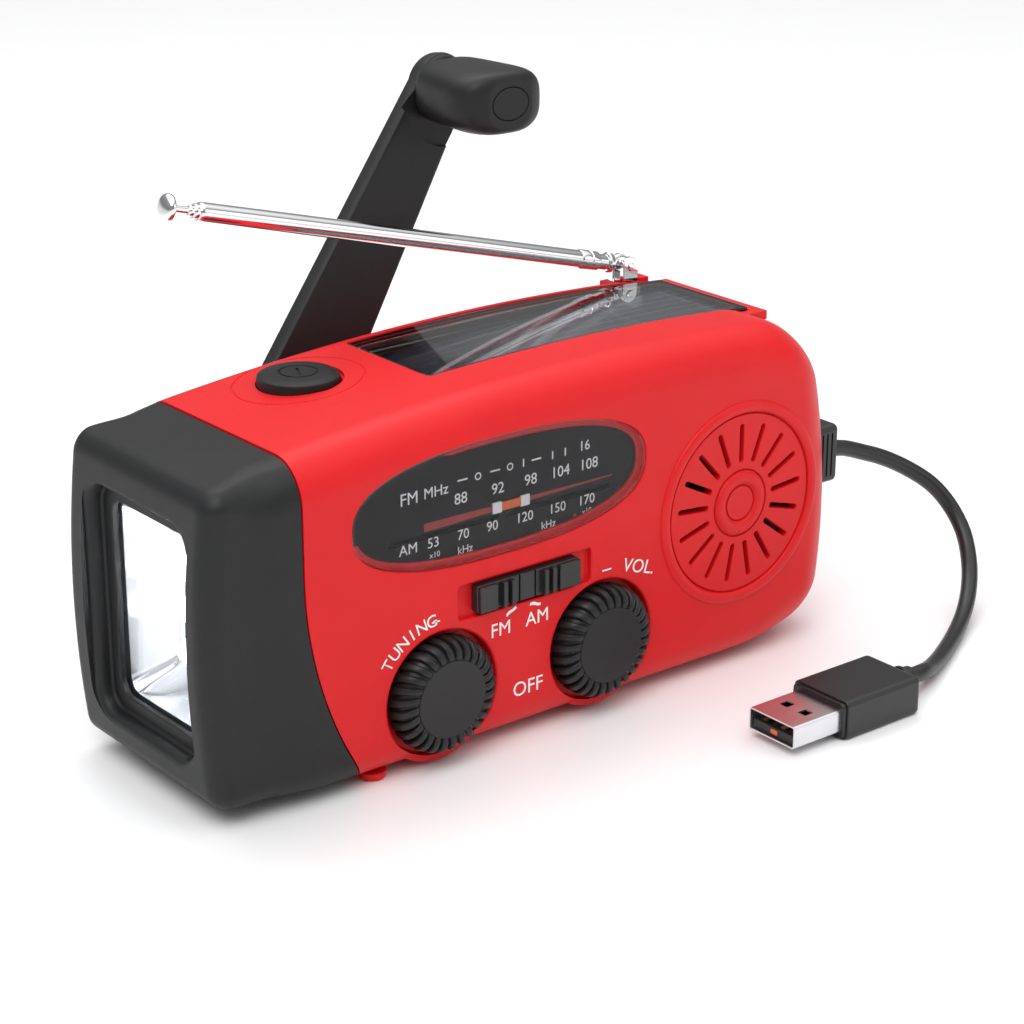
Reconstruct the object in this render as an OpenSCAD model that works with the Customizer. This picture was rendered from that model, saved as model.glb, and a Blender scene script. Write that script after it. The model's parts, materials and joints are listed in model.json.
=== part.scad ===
// Hand-crank emergency radio with torch, solar cell and telescopic antenna.
// Millimetres. X runs from the torch (-) to the speaker end (+), the dial
// faces -Y, Z is up, and z = 0 is the surface that the feet stand on.

/* [Case] */
// Right end of the case, measured from the origin
case_end = 75; // [74:0.5:76]
// Half of the case depth, front face to centre
half_depth = 25; // [24.5:0.5:26]
// Height of the top crown above the feet
crown_top = 69.5; // [69:0.5:71]
// Wall thickness of the mouldings
wall = 2.2; // [2:0.1:2.4]
// Depth plane where the rear cover meets the case
part_y = 20.3; // [20.2:0.1:20.5]

/* [Torch] */
// Flat upper part of the seam between torch head and case
seam_x = -57.5; // [-58:0.5:-57]
// Radius of the seam where it sweeps forward at the bottom
seam_r = 77; // [75:1:80]
// Front plane of the torch rim
rim_x = -75; // [-76:0.5:-74]

/* [Controls] */
// Radius of both round knobs
knob_r = 11.3; // [11:0.1:11.5]
// Radius of the recess round each knob
recess_r = 12.3; // [12.2:0.1:12.5]
// Half of the width of the dial window
dial_a = 33.4; // [33:0.1:33.5]
// Half of the height of the dial window
dial_b = 11.2; // [11:0.1:11.4]

/* [Speaker] */
// Outer radius of the speaker grille ring
// Number of radial grille slots
grille_slots = 17; // [15:1:19]

/* [Crank] */
// Distance from the crank axis to the grip axis
crank_r = 84; // [83:0.5:84.5]
// Direction of the arm at rest, from vertical towards +X
crank_dir = 39.6; // [38:0.1:41]
// Lean of the arm away from the case at rest
crank_lean = 10; // [10:0.5:11]
// Length of the turning grip
grip_len = 20.6; // [19:0.1:20.8]

/* [Antenna] */
// Outer radius of the thickest antenna section
ant_r = 1.85; // [1.8:0.05:1.9]
// Rise of the antenna above horizontal at rest
ant_rise = 14.8; // [12:0.1:16]

/* [Cable] */
// Outside diameter of the charging cable
cable_d = 3.4; // [3.2:0.1:3.6]

/* [Hidden] */

red = "#d8202a";
black = "#232426";
steel = "#b9bcc0";
brass = "#c9a24a";
green = "#1f6b3a";
white = "#eceae4";
eps = 0.01;
fit_gap = 0.05;      // radial clearance of a running fit
fn_big = 720;        // facets of very large arcs
fn_mid = 96;         // facets of visible rounds
fn_small = 40;       // facets of pins and bores

base_z = 1.6;        // underside of the case, on top of the feet
crown_x = 15;        // where the crown is highest
crown_r = 576;       // radius of the crown along X
bulge_r = 120;       // radius of the bulging right end
bulge_z = 27;        // height where the right end is widest
plan_r = 14;         // corner radius in plan at the right end
low_r = 9;           // corner radius at the lower right
high_r = 12;         // corner radius at the upper right
top_front_r = 8;     // edge radius, top front
edge_r = 6;          // edge radius, top rear and bottom
seam_z = 44;         // height where the seam starts to sweep

dial_x = -13.7;
dial_z = 49.8;
dial_n = 2.5;        // exponent of the dial window's outline
tune_x = -28.2;
tune_z = 14.5;
vol_x = 9.45;
vol_z = 14.9;
slot_x = [-24.5, 6.7];
slot_z = [27.8, 34.5];
slide_x = [-20.8, 3.2];
spk_x = 44.6;
spk_z = 34.7;
btn_x = -35.3;
btn_y = 8.6;
btn_r = 7.7;
btn_top = 69.0;
sol_x = [-17.7, 62];
sol_y = [-7.7, 18.8];
sol_floor = 66.2;
// posts that carry the main board
post_spots = [[-41, 7.5], [-46, 58], [19, 7.5], [19, 58]];
flag_x = [-15.6, -7.1];   // pointer flag at rest
flag_z = [46, 48.1];
rail_y = -19.9;
rail_z = 36.5;

hub_x = -24.7;
hub_z = 43.4;
hinge_y = 35;        // depth of the fold hinge
arm_t = 4;           // thickness of the crank arm
arm_w0 = 21.5;       // arm width at the hub
arm_w1 = 13.4;       // arm width at the grip
boss_r = 16;
boss_y = 28;
pocket_x = 56.5;     // centre of the grip pocket
pocket_z = 33;
pocket_w = 20.5;
pocket_h = 24;
pocket_floor = 2.5;  // depth plane of the pocket's bottom

wheel_teeth = 26;
small_teeth = 10;
rotor_teeth = 8;
idler_dir = -20;     // direction from the crank axis to the idler
rotor_dir = -115;    // direction from the idler to the dynamo
idler_x = hub_x + (wheel_teeth + small_teeth) / 2 * cos(idler_dir);
idler_z = hub_z + (wheel_teeth + small_teeth) / 2 * sin(idler_dir);
rotor_x = idler_x + (wheel_teeth + rotor_teeth) / 2 * cos(rotor_dir);
rotor_z = idler_z + (wheel_teeth + rotor_teeth) / 2 * sin(rotor_dir);

ant_x = 54.9;
ant_y = 22.5;
ant_z = 70.9;
ant_len = 112;

plug_y = -14.2;
plug_z = 35.4;
usb_y = -56.5;
usb_z = 3.9;
// Route of the charging cable, from the side plug to the USB plug
ROUTE = [
  [79.5, -14.2, 35.4], [84, -14.3, 34.6], [89, -14.8, 32.8], [94.5, -16, 30.6],
  [100, -18, 27.5], [104.5, -20.8, 23.8], [107, -24, 19.4], [107.2, -28, 14.6],
  [105, -32, 10], [101.2, -35.8, 6.2], [95.5, -39.8, 3.2], [87, -44.9, 1.9],
  [77.5, -50.2, 1.9], [70, -54, 2.6], [65.3, -56, 3.6], [61.5, -56.5, 3.9]];

// ---------------------------------------------------------------- helpers

// Rounded bar along Y with its rectangle in XZ
module bar_y(x0, x1, z0, z1, y0, y1, r) {
  translate([0, y1, 0]) rotate([90, 0, 0]) union() {
    translate([x0 + r, z0, 0]) cube([x1 - x0 - 2 * r, z1 - z0, y1 - y0]);
    translate([x0, z0 + r, 0]) cube([x1 - x0, z1 - z0 - 2 * r, y1 - y0]);
    for (x = [x0 + r, x1 - r], z = [z0 + r, z1 - r])
      translate([x, z, 0]) cylinder(r = r, h = y1 - y0, $fn = fn_small);
  }
}

// Round bar along Y from depth y0 to y1
module rod_y(x, z, r, y0, y1, fn = fn_small) {
  translate([x, y1, z]) rotate([90, 0, 0]) cylinder(r = r, h = y1 - y0, $fn = fn);
}

// Round bar along X
module rod_x(y, z, r, x0, x1, fn = fn_small) {
  translate([x0, y, z]) rotate([0, 90, 0]) cylinder(r = r, h = x1 - x0, $fn = fn);
}

// Plain box from corner to corner
module block(a, b) {
  translate(a) cube(b - a);
}

// Superellipse outline with the given half sizes and exponent
function oval(a, b, n, count = 56) = [
  for (i = [0:count - 1]) let (t = 360 * i / count, c = cos(t), s = sin(t))
    [a * sign(c) * pow(abs(c), 2 / n), b * sign(s) * pow(abs(s), 2 / n)]];

// Involute tooth outline of a spur gear: teeth count, module and backlash angle
function inv(rb, r) = let (a = acos(min(1, rb / r))) tan(a) * 180 / PI - a;
function gear_points(teeth, m, thin) =
  let (rp = teeth * m / 2, rb = rp * cos(20), ro = rp + (teeth > 20 ? 0.7 : 0.9) * m,
       rr = rp - 1.15 * m, half = 90 / teeth - thin,
       rs = max(rb, rr) + 0.01,
       steps = [for (k = [0:3]) rs + (ro - rs) * k / 3])
  [for (i = [0:teeth - 1]) let (c = 360 * i / teeth)
     each concat(
       [let (a = c - half - inv(rb, rp)) rr * [cos(a), sin(a)]],
       [for (r = steps) let (a = c - half - inv(rb, rp) + inv(rb, r)) r * [cos(a), sin(a)]],
       [for (k = [3:-1:0]) let (r = steps[k], a = c + half + inv(rb, rp) - inv(rb, r))
          r * [cos(a), sin(a)]],
       [let (a = c + half + inv(rb, rp)) rr * [cos(a), sin(a)]])];

// Phase of a gear that meshes with another one, whose centre lies in direction dir
function mesh_phase(dir, teeth_1, phase_1, teeth_2) =
  dir + 180 - ((phase_1 - dir) * teeth_1 / 360 + 0.5) * 360 / teeth_2;

// Spur gear on an axis along Y, turned by phase seen from the dial side
module gear_y(x, z, teeth, phase, y0, y1) {
  translate([x, y1, z]) rotate([90, 0, 0]) rotate([0, 0, phase])
    linear_extrude(y1 - y0) polygon(gear_points(teeth, 1, 0.25 + 6 / teeth));
}

// Places children on the crank arm: local X across, Y along the arm, Z to the rear
module on_arm() {
  translate([hub_x, hinge_y, hub_z]) rotate([0, crank_dir, 0]) rotate([-crank_lean, 0, 0])
    multmatrix([[1, 0, 0, 0], [0, 0, 1, 0], [0, 1, 0, 0], [0, 0, 0, 1]]) children();
}
arm_end = [
  hub_x + crank_r * cos(crank_lean) * sin(crank_dir),
  hinge_y + crank_r * sin(crank_lean),
  hub_z + crank_r * cos(crank_lean) * cos(crank_dir)];

// Places children on the antenna: local X along the tubes from the elbow pin
module on_antenna() {
  translate([ant_x, ant_y, ant_z]) rotate([0, 180 + ant_rise, 0]) children();
}

// ---------------------------------------------------------------- case form

// Outer form of the red case, shrunk by i on every side
module case_form(i = 0) {
  intersection() {
    // front outline: flat bottom, crowned top, bulging right end
    rod_y(crown_x, crown_top - crown_r, crown_r - i, -30, 30, fn_big);
    rod_y(case_end - bulge_r, bulge_z, bulge_r - i, -30, 30, fn_big);
    union() {
      block([-90, -30, base_z + i], [case_end - high_r - i, 30, 80]);
      block([-90, -30, base_z + low_r], [case_end, 30, 56]);
      block([-90, -30, base_z + i], [case_end - low_r, 30, 56]);
      rod_y(case_end - low_r, base_z + low_r, low_r - i, -30, 30, fn_mid);
      rod_y(case_end - high_r - 1.6, 55.4, high_r - i, -30, 30, fn_mid);
    }
    // plan outline: rounded corners at the right end
    union() {
      block([-90, -half_depth + i, 0], [case_end - plan_r, half_depth - i, 80]);
      block([-90, -half_depth + plan_r, 0], [case_end - i, half_depth - plan_r, 80]);
      for (y = [-1, 1]) translate([case_end - plan_r, y * (half_depth - plan_r), 0])
        cylinder(r = plan_r - i, h = 80, $fn = fn_mid);
    }
    // end outline: rounded long edges
    end_outline(i);
  }
}

// Section across the case, as a long bar with rounded edges
module end_outline(i = 0) {
  top = crown_top + 0.2;
  union() {
    block([-90, -half_depth + i, base_z + edge_r], [90, half_depth - i, top - top_front_r]);
    block([-90, -half_depth + top_front_r, base_z + i], [90, half_depth - edge_r, top - i]);
    rod_x(-half_depth + top_front_r, top - top_front_r, top_front_r - i, -90, 90, fn_mid);
    rod_x(half_depth - edge_r, top - edge_r, edge_r - i, -90, 90, fn_mid);
    for (y = [-1, 1])
      rod_x(y * (half_depth - edge_r), base_z + edge_r, edge_r - i, -90, 90, fn_mid);
    block([-90, -half_depth + edge_r, base_z + i], [90, half_depth - edge_r, base_z + 20]);
    block([-90, 0, top - 20], [90, half_depth - i, top - edge_r]);
  }
}

// Everything on the case side of the seam, moved by d towards the torch
module seam_side(d = 0) {
  union() {
    block([seam_x - d, -40, seam_z], [90, 40, 90]);
    block([seam_x + seam_r, -40, -10], [90, 40, 90]);
    intersection() {
      rod_y(seam_x + seam_r, seam_z, seam_r + d, -40, 40, fn_big);
      block([-90, -40, -30], [seam_x + seam_r + 1, 40, seam_z + 1]);
    }
  }
}

// Outer form of the torch head, tapering to a slightly convex rim
module torch_form(i = 0) {
  intersection() {
    end_outline(i);
    rod_y(crown_x, crown_top - crown_r, crown_r - i, -30, 30, fn_big);
    translate([0, 30, 0]) rotate([90, 0, 0]) linear_extrude(60) polygon([
      [-30, base_z + i], [-50, base_z + i], [rim_x + 3, base_z + 1.4 + i],
      [rim_x + 0.2 + i, base_z + 4], [rim_x - 1.2 + i, 16], [rim_x - 1.8 + i, 30],
      [rim_x - 1.2 + i, 46], [rim_x + 0.2 + i, 59.5], [rim_x + 3.4, 62.6 - i],
      [-58, 65.2 - i], [-30, 68 - i]]);
    linear_extrude(90) polygon([
      [-30, -half_depth + i], [-56, -half_depth + i], [rim_x + 2.6, -half_depth + 1.8 + i],
      [rim_x - 2.4 + i, -half_depth + 5.5], [rim_x - 2.4 + i, half_depth - 3.2],
      [rim_x + 0.4, half_depth - 1.2 - i], [-56, half_depth - i], [-30, half_depth - i]]);
  }
}

// Space that the crank grip folds into
module pocket(grow = 0) {
  bar_y(pocket_x - pocket_w / 2 - grow, pocket_x + pocket_w / 2 + grow,
    pocket_z - pocket_h / 2 - grow, pocket_z + pocket_h / 2 + grow,
    pocket_floor - grow, grow > 0 ? 24.9 : 40, 7 + grow);
}

// ---------------------------------------------------------------- case parts

module front_case() {
  color(red) difference() {
    union() {
      difference() {
        intersection() {
          case_form();
          seam_side(-0.15);
          block([-90, -30, 0], [90, part_y, 90]);
        }
        intersection() {
          case_form(wall);
          seam_side(-wall - 0.15);
        }
      }
      // cups behind the two knobs
      for (k = [[tune_x, tune_z], [vol_x, vol_z]])
        intersection() {
          rod_y(k[0], k[1], recess_r + 1.2, -24, -20.2, fn_mid);
          case_form(1);
        }
      // pads under the solar window
      intersection() {
        block([sol_x[0] - 2.5, sol_y[0] - 2.5, sol_floor - 1.2],
          [sol_x[1] + 2.5, part_y - 0.2, crown_top]);
        case_form(0.5);
      }
      // posts that carry the main board
      for (p = post_spots) rod_y(p[0], p[1], 2.2, -23, -8.1);
      // bosses for the case screws, tied to the nearest long wall
      intersection() {
        for (s = screw_spots()) {
          rod_y(s[0], s[1], 3, 17.2, part_y - 0.1);
          block([s[0] - 3, 17.2, s[1] > 30 ? s[1] : 2], [s[0] + 3, part_y - 0.1, s[1] > 30 ? 70 : s[1]]);
        }
        case_form(1);
        seam_side(-1);
      }
    }
    for (s = screw_spots()) rod_y(s[0], s[1], 1.4, 10, 22);
    // dial window opening with a ledge
    translate([dial_x, -20, dial_z]) rotate([90, 0, 0])
      linear_extrude(10) polygon(oval(dial_a - 1.2, dial_b - 1.2, dial_n));
    translate([dial_x, -23.4, dial_z]) rotate([90, 0, 0])
      linear_extrude(10) polygon(oval(dial_a + 0.12, dial_b + 0.12, dial_n));
    // knob recesses and shaft holes
    for (k = [[tune_x, tune_z], [vol_x, vol_z]]) {
      rod_y(k[0], k[1], recess_r, -30, -22, fn_mid);
      rod_y(k[0], k[1], 3.4, -30, -18, fn_small);
    }
    // band switch recess and slot
    block([slot_x[0], -30, slot_z[0]], [slot_x[1], -23.8, slot_z[1]]);
    block([-16.5, -30, 29.8], [-1.2, -20, 32.4]);
    // speaker rings and radial slots
    rod_y(spk_x, spk_z, 6.6, -30, -24.4, fn_mid);
    for (i = [0:grille_slots - 1])
      translate([spk_x, 0, spk_z]) rotate([0, i * 360 / grille_slots, 0])
        block([8.3, -30, -0.6], [16.2, -20, 0.6]);
    // power button hole
    translate([btn_x, btn_y, 60]) cylinder(r = btn_r + 0.2, h = 20, $fn = fn_mid);
    // solar window seat and the light opening below it
    block([sol_x[0] - 0.15, sol_y[0] - 0.15, sol_floor], [sol_x[1] + 0.15, sol_y[1] + 0.15, 80]);
    block([sol_x[0] + 1.5, sol_y[0] + 1.5, 60], [sol_x[1] - 1.5, sol_y[1] - 1.5, 80]);
    // charging socket opening and the flat seat for its plug
    block([73.0, plug_y - 3.6, plug_z - 7], [80, plug_y + 3.6, plug_z + 7]);
    block([60, plug_y - 1.7, plug_z - 4.2], [80, plug_y + 1.7, plug_z + 4.2]);
    // window for the torch wires
    block([-62, -6, 20], [-50, 6, 40]);
    // grip pocket
    pocket(1.7);
    // seat of the antenna elbow
    translate([ant_x, ant_y, 50]) cylinder(r = 3.3, h = 30, $fn = fn_small);
  }
}

module rear_cover() {
  color(red) difference() {
    union() {
      difference() {
        intersection() {
          case_form();
          seam_side(-0.15);
          block([-90, part_y + 0.1, 0], [90, 30, 90]);
        }
        intersection() {
          case_form(wall);
          seam_side(-wall - 0.15);
        }
      }
      rod_y(hub_x, hub_z, boss_r, 22, boss_y, fn_mid);
      intersection() {
        pocket(1.5);
        block([-90, -30, 0], [90, 24.4, 90]);
      }
      // block that carries the antenna foot
      intersection() {
        block([ant_x - 5, part_y + 0.1, 54], [ant_x + 5, 24.8, 80]);
        case_form(0.3);
      }
    }
    pocket();
    rod_y(hub_x, hub_z, 2.5 + fit_gap, 10, 40);
    rod_y(hub_x, hub_z, 13, 10, 22.8);
    translate([ant_x, ant_y, 56]) cylinder(r = 1.6, h = 30, $fn = fn_small);
    translate([ant_x, ant_y, 67.2]) cylinder(r = 3.3, h = 30, $fn = fn_small);
    for (s = screw_spots()) {
      rod_y(s[0], s[1], 1.6, 10, 40);
      rod_y(s[0], s[1], 2.9, 23.6, 40);
    }
  }
}
function screw_spots() = [[-44, 9.5], [-50, 56], [58, 9.5], [30, 58]];

module case_screws() {
  color(steel) for (s = screw_spots()) difference() {
    union() {
      rod_y(s[0], s[1], 2.7, 23.7, 24.8);
      rod_y(s[0], s[1], 1.4, 14.5, 23.8);
    }
    block([s[0] - 2, 24.3, s[1] - 0.4], [s[0] + 2, 26, s[1] + 0.4]);
    block([s[0] - 0.4, 24.3, s[1] - 2], [s[0] + 0.4, 26, s[1] + 2]);
  }
}

module feet() {
  // the front right foot stands further in
  color(red) for (p = [[-41, -20.2], [-41, 16], [58, -12], [58, 16]])
    translate([p[0], p[1], 0]) cylinder(r = 2.6, h = base_z - eps, $fn = fn_small);
}

module torch_head() {
  color(black) difference() {
    torch_form();
    seam_side(0.15);
    intersection() {
      torch_form(wall);
      block([-71.5, -40, -10], [0, 40, 90]);
    }
    // face recess, and the opening behind it
    translate([-90, 0, 0]) rotate([90, 0, 90])
      linear_extrude(90 + rim_x + 2.4) polygon(round_rect(-15.5, 16.5, 10.6, 54.6, 4));
    translate([-90, 0, 0]) rotate([90, 0, 90])
      linear_extrude(40) polygon(round_rect(-12.5, 13.5, 13.6, 51.6, 3));
  }
}
// Rectangle with round corners, as points
function round_rect(x0, x1, y0, y1, r) = [
  for (c = [[x1 - r, y1 - r, 0], [x0 + r, y1 - r, 90], [x0 + r, y0 + r, 180], [x1 - r, y0 + r, 270]])
    for (a = [0:18:90]) [c[0] + r * cos(c[2] + a), c[1] + r * sin(c[2] + a)]];

module torch_lens() {
  color("#dfe6ea", 0.4) translate([-71.3, 0, 0]) rotate([90, 0, 90])
    linear_extrude(1.4) polygon(round_rect(-14.6, 15.6, 11.6, 53.6, 4));
}

module torch_reflector() {
  color(white) difference() {
    block([-69.7, -14, 12], [-61.2, 15, 53.2]);
    // four sloping walls down to the lamp plate
    hull() {
      block([-69.9, -12.4, 13.6], [-69.6, 13.4, 51.6]);
      block([-62.2, -7, 18], [-62.1, 8, 47]);
    }
    for (z = led_heights()) rod_x(0.5, z, 2.6, -63, -60);
  }
}
function led_heights() = [24.5, 32.5, 40.5];

module torch_leds() {
  color(white) for (z = led_heights()) {
    rod_x(0.5, z, 2.4, -64.5, -60.6);
    translate([-64.5, 0.5, z]) sphere(r = 2.39, $fn = fn_small);
  }
}

module led_board() {
  color(green) block([-60.6, -12, 14], [-59.2, 13, 51]);
}

// ---------------------------------------------------------------- top of the case

module solar_window() {
  steps = 16;
  color("#dfe6ea", 0.4) translate([0, sol_y[1], 0]) rotate([90, 0, 0])
    linear_extrude(sol_y[1] - sol_y[0]) polygon(concat(
      [[sol_x[1], sol_floor], [sol_x[0], sol_floor]],
      [for (i = [0:steps]) let (x = sol_x[0] + (sol_x[1] - sol_x[0]) * i / steps)
        [x, crown_z(x) - 0.2]]));
}
function crown_z(x) = crown_top - crown_r + sqrt(pow(crown_r, 2) - pow(x - crown_x, 2));

module solar_panel() {
  color("#1b2030") {
    block([sol_x[0] + 2, sol_y[0] + 2, 63.2], [sol_x[1] - 2, sol_y[1] - 2, 64.6]);
  }
}

module power_button() {
  color(black) translate([btn_x, btn_y, 0]) difference() {
    union() {
      translate([0, 0, 63.1]) cylinder(r = btn_r + 0.8, h = 1, $fn = fn_mid);
      translate([0, 0, 64]) cylinder(r = btn_r, h = btn_top - 64, $fn = fn_mid);
    }
    translate([0, 0, btn_top - 0.4]) difference() {
      cylinder(r = 4.2, h = 2, $fn = fn_mid);
      translate([0, 0, -1]) cylinder(r = 3.6, h = 4, $fn = fn_mid);
    }
  }
}

module button_switch() {
  color(black) {
    translate([btn_x - 3, btn_y - 3, 59.2]) cube([6, 6, 2]);
    translate([btn_x, btn_y, 61.2]) cylinder(r = 1.7, h = 0.9, $fn = fn_small);
  }
}

module switch_board() {
  color(green) block([btn_x - 8, btn_y - 6, 58.1], [btn_x + 8, btn_y + 6, 59.2]);
}

// ---------------------------------------------------------------- dial and controls

module dial_window() {
  color("#101114", 0.6) translate([dial_x, -23.45, dial_z]) rotate([90, 0, 0])
    linear_extrude(1.75) polygon(oval(dial_a, dial_b, dial_n));
}

module dial_plate() {
  color(black) difference() {
    block([dial_x - 32.8, -22.7, rail_z + 2], [dial_x + 32.8, -22.1, 60.6]);
    for (p = post_spots) rod_y(p[0], p[1], 2.5, -24, -18);
    // slot for the pointer's stem
    block([dial_x - 24.8, -23, flag_z[0] - 1.4], [dial_x + 26.2, -22, flag_z[0] - 0.4]);
  }
}

module pointer_rail() {
  color(steel) rod_x(rail_y, rail_z, 0.9, dial_x - 30, dial_x + 30);
}

module dial_pointer() {
  color("#f06a1e") difference() {
    union() {
      block([flag_x[0], -23.25, flag_z[0]], [flag_x[1], -22.85, flag_z[1]]);
      block([dial_x - 0.6, -23.25, flag_z[0] - 1.2], [dial_x + 1, -22.85, flag_z[0] + 0.1]);
      block([dial_x - 0.6, -23.2, flag_z[0] - 1.2], [dial_x + 1, -21.2, flag_z[0] - 0.6]);
      block([dial_x - 0.6, -21.9, rail_z - 1], [dial_x + 1, -21.2, flag_z[0] - 0.6]);
      block([dial_x - 3, -21.7, rail_z - 1.6], [dial_x + 3, rail_y + 1.6, rail_z + 1.6]);
    }
    rod_x(rail_y, rail_z, 0.9 + fit_gap, dial_x - 10, dial_x + 10);
  }
}

// Round knob with curved finger lugs, on an axis along Y
module knob(x, z) {
  face_r = 7.5;
  difference() {
    union() {
      rod_y(x, z, knob_r - 1.1, -26.2, -22.3, fn_mid);
      rod_y(x, z, face_r, -28, -26, fn_mid);
      for (i = [0:23]) translate([x, 0, z]) rotate([0, i * 15, 0])
        block([face_r - 1, -27, -0.85], [knob_r, -22.6, 0.85]);
    }
    rod_y(x, z, 3, -26, -20);
  }
}

module tuning_knob() {
  color(black) knob(tune_x, tune_z);
}

module volume_knob() {
  color(black) knob(vol_x, vol_z);
}

module tuning_shaft() {
  color(brass) rod_y(tune_x, tune_z, 3, -25.9, -12);
}

module volume_shaft() {
  color(steel) rod_y(vol_x, vol_z, 3, -25.9, -13);
}

module tuning_capacitor() {
  color(white) difference() {
    block([tune_x - 10, -18, tune_z - 10], [tune_x + 10, -8.1, tune_z + 10]);
    rod_y(tune_x, tune_z, 3 + fit_gap, -20, -11.9);
  }
}

module volume_pot() {
  color("#3a5f8a") difference() {
    union() {
      rod_y(vol_x, vol_z, 8, -17.5, -11, fn_mid);
      block([vol_x - 7, -11.2, vol_z - 9], [vol_x + 7, -8.1, vol_z + 7]);
    }
    rod_y(vol_x, vol_z, 3 + fit_gap, -20, -12.9);
  }
}

module band_slider() {
  color(black) {
    difference() {
      block([slide_x[0], -25.4, slot_z[0] + 0.7], [slide_x[1], -23.95, slot_z[1] - 0.7]);
      block([-10.2, -26, slot_z[0]], [-7.2, -24.8, slot_z[1]]);
    }
    for (x = [-18.8, -16.6, -14.4, -4.4, -2.2, 0])
      block([x - 0.5, -26.6, slot_z[0] + 1], [x + 0.9, -25.4 + eps, slot_z[1] - 1]);
    block([-12.2, -23.96, 30.0], [-5.4, -17.5, 32.2]);
  }
}

module slide_switch() {
  color(steel) difference() {
    block([-18.5, -19.6, 28.2], [1, -8.1, 34]);
    block([-16.4, -20, 29.8], [-1.2, -15, 32.4]);
  }
}

// ---------------------------------------------------------------- speaker

module speaker_frame() {
  color(black) translate([spk_x, -22.5, spk_z]) rotate([-90, 0, 0]) difference() {
    rotate_extrude($fn = fn_mid) polygon([
      [14.5, 0], [18.4, 0], [18.4, 1.6], [16.8, 1.6], [10.5, 7], [10.5, 8.2], [6, 8.2],
      [6, 7.2], [9.6, 6.4], [15.6, 1], [14.5, 1]]);
    for (a = [0:60:300]) rotate([0, 0, a]) translate([9.5, -2, 3]) cube([5, 4, 3.2]);
  }
}

module speaker_cone() {
  color("#2c2c2e") translate([spk_x, -22.5, spk_z]) rotate([-90, 0, 0])
    rotate_extrude($fn = fn_mid) polygon([
      [0, 3.6], [4, 4.4], [5.4, 5.6], [13.2, -0.05], [14.4, -0.05], [14.4, 0.7], [13.6, 0.9],
      [5.6, 6.9], [4.6, 6.6], [3.4, 5.2], [0, 4.4]]);
}

module speaker_magnet() {
  color(steel) translate([spk_x, -14.2, spk_z]) rotate([-90, 0, 0]) {
    cylinder(r = 11, h = 1.4, $fn = fn_mid);
    translate([0, 0, 1.4]) cylinder(r = 9.4, h = 4, $fn = fn_mid);
    translate([0, 0, 5.4]) cylinder(r = 10.2, h = 1.2, $fn = fn_mid);
  }
}

// ---------------------------------------------------------------- electronics

module main_board() {
  color(green) difference() {
    block([-50, -8, 4.6], [21, -6.4, 60.5]);
    for (p = post_spots) rod_y(p[0], p[1], 1.2, -10, -4);
    // lower corner kept clear of the curved end wall
    block([-51, -9, 4], [-43.8, -5, 20]);
  }
}

module ferrite_rod() {
  color("#4a4744") rod_x(0, 57, 4, -20, 44);
}

module ferrite_coil() {
  color("#b5562c") difference() {
    union() {
      rod_x(0, 57, 5.2, -8, 4);
      rod_x(0, 57, 5.2, 18, 26);
    }
    rod_x(0, 57, 4 + eps, -10, 30);
  }
}

module rod_clips() {
  color(white) difference() {
    union() {
      block([-17, -6.35, 52], [-13.5, 5, 62]);
      block([11, -6.35, 52], [14.5, 5, 62]);
    }
    rod_x(0, 57, 4 + eps, -20, 20);
  }
}

module battery_pack() {
  color("#3d6fb0") bar_y(8.6, 44, 4.8, 35, 9, 18.6, 2);
}

module battery_foam() {
  color("#55585c") block([12, 18.65, 9], [40, 22.6, 31]);
}

// ---------------------------------------------------------------- gearbox and dynamo

plate_x = [-40, 7.2];
plate_z = [13.5, 57.6];

module gear_plate(y0, y1) {
  difference() {
    bar_y(plate_x[0], plate_x[1], plate_z[0], plate_z[1], y0, y1, 4);
    rod_y(hub_x, hub_z, 2.5 + fit_gap, -10, 40);
    rod_y(idler_x, idler_z, 1.2 + fit_gap, -10, 40);
    rod_y(rotor_x, rotor_z, 1 + fit_gap, -10, 40);
  }
}

module gear_plate_front() {
  color(steel) union() {
    gear_plate(5.4, 7);
    for (x = [plate_x[0] + 3, plate_x[1] - 3.2], z = [plate_z[0] + 3.2, plate_z[1] - 3])
      rod_y(x, z, 2.2, 6.9, 18.5);
  }
}

module gear_plate_rear() {
  color(steel) gear_plate(18.5, 20);
}

module drive_gear() {
  color(white) difference() {
    gear_y(hub_x, hub_z, wheel_teeth, 0, 14.5, 17.5);
    rod_y(hub_x, hub_z, 2.5, 10, 20);
  }
}

module crank_shaft() {
  color(steel) rod_y(hub_x, hub_z, 2.5, 5.6, 30);
}

// The idler's small gear meshes with the drive gear, its wheel with the rotor
module idler_gear() {
  color(white) union() {
    gear_y(idler_x, idler_z, small_teeth, mesh_phase(idler_dir, wheel_teeth, 0, small_teeth),
      14.2, 17.8);
    rod_y(idler_x, idler_z, 3, 12.4, 14.3);
    gear_y(idler_x, idler_z, wheel_teeth, 0, 10, 12.5);
    rod_y(idler_x, idler_z, 1.2, 5.6, 19.8);
  }
}

module dynamo_rotor() {
  color(steel) union() {
    gear_y(rotor_x, rotor_z, rotor_teeth, mesh_phase(rotor_dir, wheel_teeth, 0, rotor_teeth),
      9.6, 12.9);
    rod_y(rotor_x, rotor_z, 1, -3.4, 19.8);
    rod_y(rotor_x, rotor_z, 8, -2.4, 3, fn_mid);
  }
}

module dynamo_can() {
  color(steel) difference() {
    rod_y(rotor_x, rotor_z, 11.5, -4.6, 5.35, fn_mid);
    rod_y(rotor_x, rotor_z, 8.6, -3, 3.6, fn_mid);
    rod_y(rotor_x, rotor_z, 1 + fit_gap, -10, 10);
  }
}

// ---------------------------------------------------------------- crank

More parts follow.
